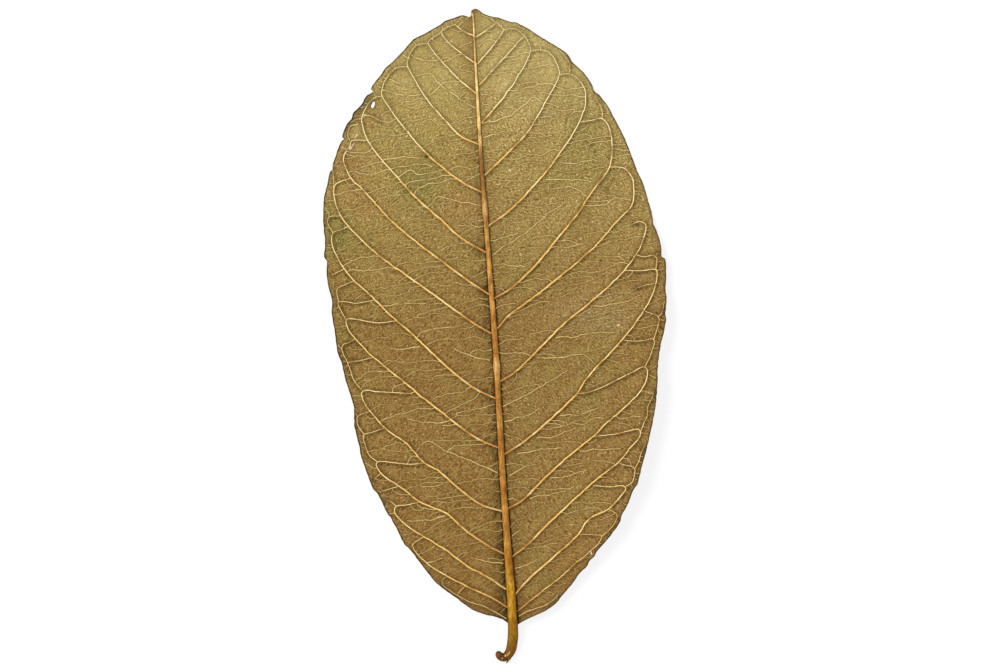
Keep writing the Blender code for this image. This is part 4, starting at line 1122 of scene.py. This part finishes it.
SIDE_VEIN_GIRTH = (0.25, 0.115)
LOOP_GIRTH = (0.078, 0.05)
strands = strand_tree()
rib_line_tree = tree_of(rib_lines)
lines, girths, pales, faint_lines = [], [], [], []
for line, (vein, _) in zip(rib_lines, VEINS):
    start_x, start_y = vein[0]
    if start_y < 1:
        faint_lines.append(line)
        continue
    if abs(start_x) > 0.2:
        line = np.vstack([[[0.0, start_y - 0.35]], line])
    on_vein = len(smooth_line(vein, LINE_STEP))
    steps = np.arange(len(line))
    along = np.minimum(1, steps / on_vein)
    beyond = ramp(steps, on_vein, max(1, len(line) - on_vein))
    near_tip = ramp(line[:, 1], 88, 30)
    near_foot = np.clip((3.5 - start_y) / 2.5, 0, 1)
    girth = tapered(SIDE_VEIN_GIRTH, along**0.8)
    girth = girth * (1 - 0.42 * beyond) * (1 - 0.48 * near_tip) * (1 - 0.6 * near_foot)
    lines.append(line)
    girths.append(girth * (0.68 + 0.32 * ramp(along, 0, 1 / 7)))
    pale = 0.7 * (0.8 + 0.2 * ramp(line[:, 1], 0, 60)) * along**0.8
    pales.append(np.clip(pale + 0.8 * near_tip * np.clip(0.3 + along * 4, 0, 1), 0, 1))
for line in small_lines:
    along = np.linspace(0, 1, len(line))
    lines.append(line)
    girths.append(tapered(LOOP_GIRTH, along))
    if gap_to(rib_line_tree, *line[-1]) > 0.6:
        girths[-1] *= 1 - 0.6 * along**2
    pales.append((0.55 + 0.2 * along) * (0.3 + 0.7 * ramp(line[0][1], 0, 22)))
vein_finish = strand_finish(
    "side vein fibre", (194, 136, 64), (236, 188, 98), (254, 234, 168), (146, 94, 34), 2.6
)
side_veins = strand_piece(
    "leaf_side_veins", lines, girths, pales, vein_finish, sides=10, rise=0.2, height_share=0.75
)
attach(side_veins, "root")
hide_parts("leaf")


# The net. Threads finer than the side veins, which close the spaces between them, and the
# finest ones, which grow from all the others. They are made like the side veins.
SLIM_GIRTH = (0.118, 0.06)
THREAD_GIRTHS = (0.045, 0.085)
FINEST_GIRTHS = (0.035, 0.055)
net_piece_lines = faint_lines + slim_lines + net_lines
girths, pales = [], []
for i, line in enumerate(net_piece_lines):
    along = np.linspace(0, 1, len(line))
    to_tip = ramp(line[:, 1], 80, 36)
    if i < len(faint_lines + slim_lines):
        girths.append(tapered(SLIM_GIRTH, along))
        pales.append(0.62 + 0.38 * to_tip)
        continue
    clear = 0.6 + 0.4 * ramp(line[:, 1], 8, 16)
    girth = chance.uniform(*THREAD_GIRTHS) * clear
    girths.append(girth * (0.7 + 0.3 * np.abs(2 * along - 1)))
    pales.append(np.clip(chance.uniform(0.2, 0.85) * clear + 0.5 * to_tip, 0, 1))
net_finish = strand_finish(
    "net thread", (170, 138, 76), (200, 170, 98), (238, 214, 148), (154, 120, 60), 3.5
)
net_piece = strand_piece(
    "leaf_net", net_piece_lines, girths, pales, net_finish, sides=5, rise=0.15, height_share=0.7
)
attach(net_piece, "root")
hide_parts("leaf")

girths, pales = [], []
for line in finest_lines:
    x, y = line[0]
    clear = 0.6 + 0.4 * ramp(y, 6, 14)
    thin = 1 - 0.3 * np.linspace(0, 1, len(line))
    girths.append(chance.uniform(*FINEST_GIRTHS) * clear * thin)
    pale = 0.5 + 1.4 * rippled(x, y, (0.16, 2.0, 1)) + chance.uniform(-0.25, 0.25)
    pale += 0.4 * max(0.0, (y - 85) / 30) - 0.7 * max(0.0, 1 - y / 18)
    pales.append(np.full(len(line), min(1.0, max(0.0, pale))))
finest_finish = strand_finish(
    "finest vein thread", (140, 112, 54), (172, 142, 76), (212, 184, 112), (146, 116, 56), 3.5
)
finest_piece = strand_piece(
    "leaf_finest_veins", finest_lines, girths, pales, finest_finish,
    sides=3, rise=0.3, height_share=0.7,
)
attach(finest_piece, "root")
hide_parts("leaf")


# The midrib and the stalk. One woody rod: round and curled below the blade, where it ends in a
# knob with a torn splinter beside it, then half sunk in the sheet and tapering to the tip.
# Centre lines are given as (x, y, height, radius), in millimetres.
STALK = [
    (-3.22, -6.22, 1.1, 0.42), (-3.28, -6.5, 1.1, 0.7), (-3.24, -6.86, 1.08, 0.82),
    (-2.92, -7.26, 1.04, 0.86), (-2.3, -7.46, 0.98, 0.86), (-1.55, -7.05, 0.95, 0.95),
    (-0.78, -5.9, 1.02, 1.04), (-0.25, -3.6, 1.5, 1.07), (-0.08, -1.2, 2.25, 1.04),
    (-0.06, 0.4, 2.62, 1.02),
]
SPLINTER = [
    (-0.95, -7.75, 0.9, 0.14), (-1.4, -8.15, 0.8, 0.17), (-1.72, -8.46, 0.7, 0.15),
    (-1.98, -8.7, 0.6, 0.05),
]
SPLINTER_END = (-8.45, -8.1)
ROD_SIDES = 28
HALF_SUNK_FROM = 2.2
LOWEST = 0.02
stalk_line = smooth_line(STALK, 0.22)
upper_line = smooth_line(MIDRIB, 0.4)
upper_line = upper_line[upper_line[:, 1] > HALF_SUNK_FROM]


def top_of_blade(x, y):
    """Height of the blade's upper face, in millimetres."""
    above = Vector(((x - MIDDLE[0]) * MM, (y - MIDDLE[1]) * MM, LINES_HEIGHT))
    hit, place, _, _ = blade.ray_cast(above, Vector((0, 0, -1)))
    return place.z / MM if hit else 0.0


# A ring is its centre, its half width, and its heights above and below the centre.
rod_rings = [(x, y, z, radius, radius, radius) for x, y, z, radius in stalk_line]
for x, y, width in upper_line:
    left, right = (top_of_blade(x + side * width * 0.62, y) for side in (-1, 1))
    sunk = 0.2 + 0.8 * max(0.0, 1 - (y - HALF_SUNK_FROM) / 5)
    depth = min(width / 2, 0.3) * sunk + 0.1
    rod_rings.append((x, y, (left + right) / 2 + 0.1 * width, width * 0.5, width * 0.5, depth))
rod_rings = np.array(rod_rings)
# The few rings where the round stalk turns into the half-sunk midrib are evened out.
joint = np.arange(len(stalk_line) - 4, len(stalk_line) + 6)
for _ in range(6):
    rod_rings[joint] = (rod_rings[joint - 1] + rod_rings[joint] * 2 + rod_rings[joint + 1]) / 4
splinter_rings = np.array([
    (x, y, z, radius, radius * 0.7, radius * 0.7)
    for x, y, z, radius in smooth_line(SPLINTER, 0.12)
])
rod_points, rod_faces, rod_along, rod_around = [], [], [], []
for rings in (rod_rings, splinter_rings):
    steps = np.diff(rings[:, :3], axis=0)
    travel = np.gradient(rings[:, :3], axis=0)
    travel /= np.linalg.norm(travel, axis=1)[:, None]
    start = rod_along[-1] + 1 if rod_along else 0
    run = start + np.concatenate([[0], np.cumsum(np.linalg.norm(steps, axis=1))])
    first = len(rod_points)
    for ahead, passed, (x, y, z, wide, tall, deep) in zip(travel, run, rings):
        side = np.cross(ahead, (0, 0, 1))
        side /= np.linalg.norm(side)
        up = np.cross(side, ahead)
        for j in range(ROD_SIDES):
            turn = 2 * math.pi * j / ROD_SIDES
            cos, sin = math.cos(turn), math.sin(turn)
            ridge = rippled(cos, sin, (2.4, passed * 0.12, 1), (5, passed * 0.3, 0.6))
            swell = 1 + 0.07 * ridge + 0.04 * noise.noise(Vector((x * 0.4, passed * 0.5, 4.0)))
            rise = sin * swell * (tall if sin > 0 else deep)
            spot = np.array((x, y, z)) + side * cos * wide * swell + up * rise
            spot[2] = max(spot[2], LOWEST)
            rod_points.append(spot)
            rod_along.append(passed)
            rod_around.append(j)
    for i in range(len(rings) - 1):
        for j in range(ROD_SIDES):
            a = first + i * ROD_SIDES + j
            b = first + i * ROD_SIDES + (j + 1) % ROD_SIDES
            rod_faces.append((a, a + ROD_SIDES, b + ROD_SIDES, b))
    last, end = first + (len(rings) - 1) * ROD_SIDES, len(rod_points)
    rod_points += [
        rings[i, :3] + way * travel[i] * rings[i, 3] * 0.4 for i, way in ((0, -1), (-1, 1))
    ]
    rod_along += [run[0], run[-1]]
    rod_around += [0, 0]
    for j in range(ROD_SIDES):
        after = (j + 1) % ROD_SIDES
        rod_faces += [(first + after, end, first + j), (last + j, end + 1, last + after)]
rod_points = np.array(rod_points)
rod_points[:, :2] -= MIDDLE
midrib = new_piece("leaf_midrib", rod_points * MM, [], rod_faces)
midrib.data.shade_smooth()
carry(midrib, "along", rod_along)
# How much each point faces sideways, where the rod's finish paints shade.
carry(midrib, "sideways", np.abs(np.cos(2 * math.pi * np.array(rod_around) / ROD_SIDES)))
# The map is unrolled: once round the rod across it, and along the rod up it.
map_places = []
for face in rod_faces:
    turns = [rod_around[point] for point in face]
    wraps = max(turns) - min(turns) > ROD_SIDES / 2
    for point, turn in zip(face, turns):
        turn += ROD_SIDES * (wraps and turn < ROD_SIDES / 2)
        map_places.append((turn / ROD_SIDES, rod_along[point] / rod_along[-1]))
lay_map(midrib.data, map_places)

rod = Finish("midrib bark")
here = rod.places()
flat_here = here.times((1, 1, 0))
along = rod.attribute("along")
fibres = rod.noise(rod.places((3600, 520, 3600)), 1.0, 4.0, 0.65)
blotch = rod.noise(here, 0.3, 3.0, 0.62)
speckle = rod.noise(here, 2.6, 3.0, 0.65)
tone = rod.mix(along.rise(1.0, 4.0), srgb(86, 54, 16), srgb(112, 76, 12)).stained(
    (along.rise(2.0, 9.0), 156, 112, 14),
    (along.rise(8.0, 15.0), 186, 134, 24),
    (along.rise(17.0, 30.0), 190, 130, 52),
    (along.rise(66.0, 82.0), 204, 146, 68),
    (along.rise(84.0, 92.0), 196, 142, 68),
    (along.rise(102.0, 112.0), 254, 212, 130),
    (flat_here.mark((-0.42, 92.6), 2.0, 4.8) * 0.75, 132, 82, 36),
    (blotch.rise(0.5, 0.62) * 0.5, 156, 90, 34),
    (blotch.fall(0.34, 0.46) * 0.42, 236, 184, 92),
    # Painted shade on the rod's flanks.
    (rod.attribute("sideways").rise(0.74, 1.0) * 0.75, 78, 46, 14),
)
tone = tone.marked(flat_here, (226, 182, 112), [
    (0.55, (0.0, 52.2), 1.5), (0.55, (-0.37, 84.6), 1.6),
], 0.8)
tone = tone.brightened(0.17 + 0.48 * fibres.rise(0.32, 0.68) + 0.32 * speckle)
tone = tone.marked(flat_here, (214, 176, 120), [
    (0.5, (-1.35, -6.75), 0.55, 0.12, 0.9), (0.5, (-2.0, -7.1), 0.26, 0.2, 0.9),
    (0.5, (-2.7, -7.6), 0.2, 0.1, 0.9),
])
splinter_end = here.part(1).fall(*(y - MIDDLE[1] for y in SPLINTER_END))
rod.set("Base Color", tone.stained((splinter_end, 58, 34, 10)))
rod.set("Roughness", 0.42 + 0.3 * fibres)
rod.set("Specular IOR Level", 0.08)
rod.bump(fibres, 0.5, 0.00012)
midrib.data.materials.append(rod.material)
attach(midrib, "root")
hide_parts("leaf")


# The down. Short pale hairs of the underside, thickest beside the veins and missing at the rim.
# Each is a tiny three-sided cone that leans its own way, strewn over the face that looks up.
HAIR_LENGTH = 0.34
HAIR_WIDTH = 0.022
HAIR_SEED = 5
MOST_HAIRS = 4.0e6


def down_tree():
    """Strews small leaning hairs over the face that looks up."""
    strewn = Growth("down on the blade", {
        "Blade": "Geometry", "Most": "Float", "Length": "Float", "Width": "Float",
        "Seed": "Int", "Finish": "Material",
    })
    given = strewn.given
    roots = strewn.node("GeometryNodeDistributePointsOnFaces", {}, {
        "Mesh": given("Blade"), "Density": strewn.carried("hairiness") * given("Most"),
        "Seed": given("Seed"),
    }, "Points")
    hair = strewn.node("GeometryNodeMeshCone", {"fill_type": "TRIANGLE_FAN"}, {
        "Vertices": 3, "Radius Top": 0.0, "Radius Bottom": given("Width"),
        "Depth": given("Length"),
    })
    lean = strewn.node("FunctionNodeRandomValue", {"data_type": "FLOAT_VECTOR"}, {
        0: (0.9, -0.2, 0.0), 1: (1.42, 0.2, 6.283), "Seed": given("Seed"),
    })
    size = strewn.node("FunctionNodeRandomValue", {"data_type": "FLOAT"}, {
        2: 0.5, 3: 1.0, "Seed": given("Seed"),
    }, 1)
    return strewn.close(strewn.node("GeometryNodeInstanceOnPoints", {}, {
        "Points": roots, "Instance": hair, "Rotation": lean, "Scale": size,
    }))


down = new_piece("leaf_down", vertices[:count], [], faces.tolist())
by_veins = hump(np.minimum(rib_away, midrib_away), 1, 1.1)
carry(down, "hairiness", np.where(edge_away < 0.8, 0, 0.25 + 0.75 * by_veins))
hair = Finish("down")
hair.set("Base Color", srgb(196, 170, 118))
hair.set("Roughness", 0.6)
made_solid(down, down_tree(), {
    "Most": MOST_HAIRS, "Length": HAIR_LENGTH * MM, "Width": HAIR_WIDTH * MM,
    "Seed": HAIR_SEED, "Finish": hair.material,
})
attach(down, "root")
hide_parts("leaf")


# The table is a plain sheet of opal plastic, lit from below, with soft light on it from the
# upper left. The camera looks straight down, turned so that the leaf leans as in the photo.
# Its sizes are in metres.
TABLE_HALF = 2
TABLE_TOP = -0.00005
TABLE_GLOW = 0.815
ROOM_LIGHT = 0.95
PICTURE_WIDTH = 0.2062
PICTURE_CENTRE = (0.000575, -0.000194)
PICTURE_TURN = -3.67
CAMERA_HEIGHT = 1.2
FILM_WIDTH = 36

table = new_piece("table", [
    (x * TABLE_HALF, y * TABLE_HALF, TABLE_TOP) for x, y in ((-1, -1), (1, -1), (1, 1), (-1, 1))
], [], [(0, 1, 2, 3)])
table_finish = Finish("pale table")
table_finish.set("Base Color", (0.12, 0.12, 0.12, 1.0))
table_finish.set("Emission Color", (1.0, 1.0, 1.0, 1.0))
table_finish.set("Emission Strength", TABLE_GLOW)
table_finish.set("Roughness", 0.9)
table.data.materials.append(table_finish.material)

lamp = bpy.data.lights.new("window", "AREA")
lamp.shape = "DISK"
lamp.size = 1.4
lamp.energy = 80
window = placed("window", lamp)
window.location = (-1.4, 0.9, 2.2)
window.rotation_euler = (-window.location).to_track_quat("-Z", "Y").to_euler()
room = bpy.data.worlds.new("room")
room.use_nodes = True
room.node_tree.nodes["Background"].inputs["Color"].default_value = (1, 1, 1, 1)
room.node_tree.nodes["Background"].inputs["Strength"].default_value = ROOM_LIGHT
bpy.context.scene.world = room
bpy.context.scene.view_settings.view_transform = "Standard"

lens = bpy.data.cameras.new("camera")
lens.sensor_width = FILM_WIDTH
lens.lens = FILM_WIDTH * CAMERA_HEIGHT / PICTURE_WIDTH
lens.clip_start = 0.01
lens.clip_end = 20
camera = placed("camera", lens)
camera.location = (*PICTURE_CENTRE, CAMERA_HEIGHT)
camera.rotation_euler = (0, 0, math.radians(PICTURE_TURN))
bpy.context.scene.camera = camera
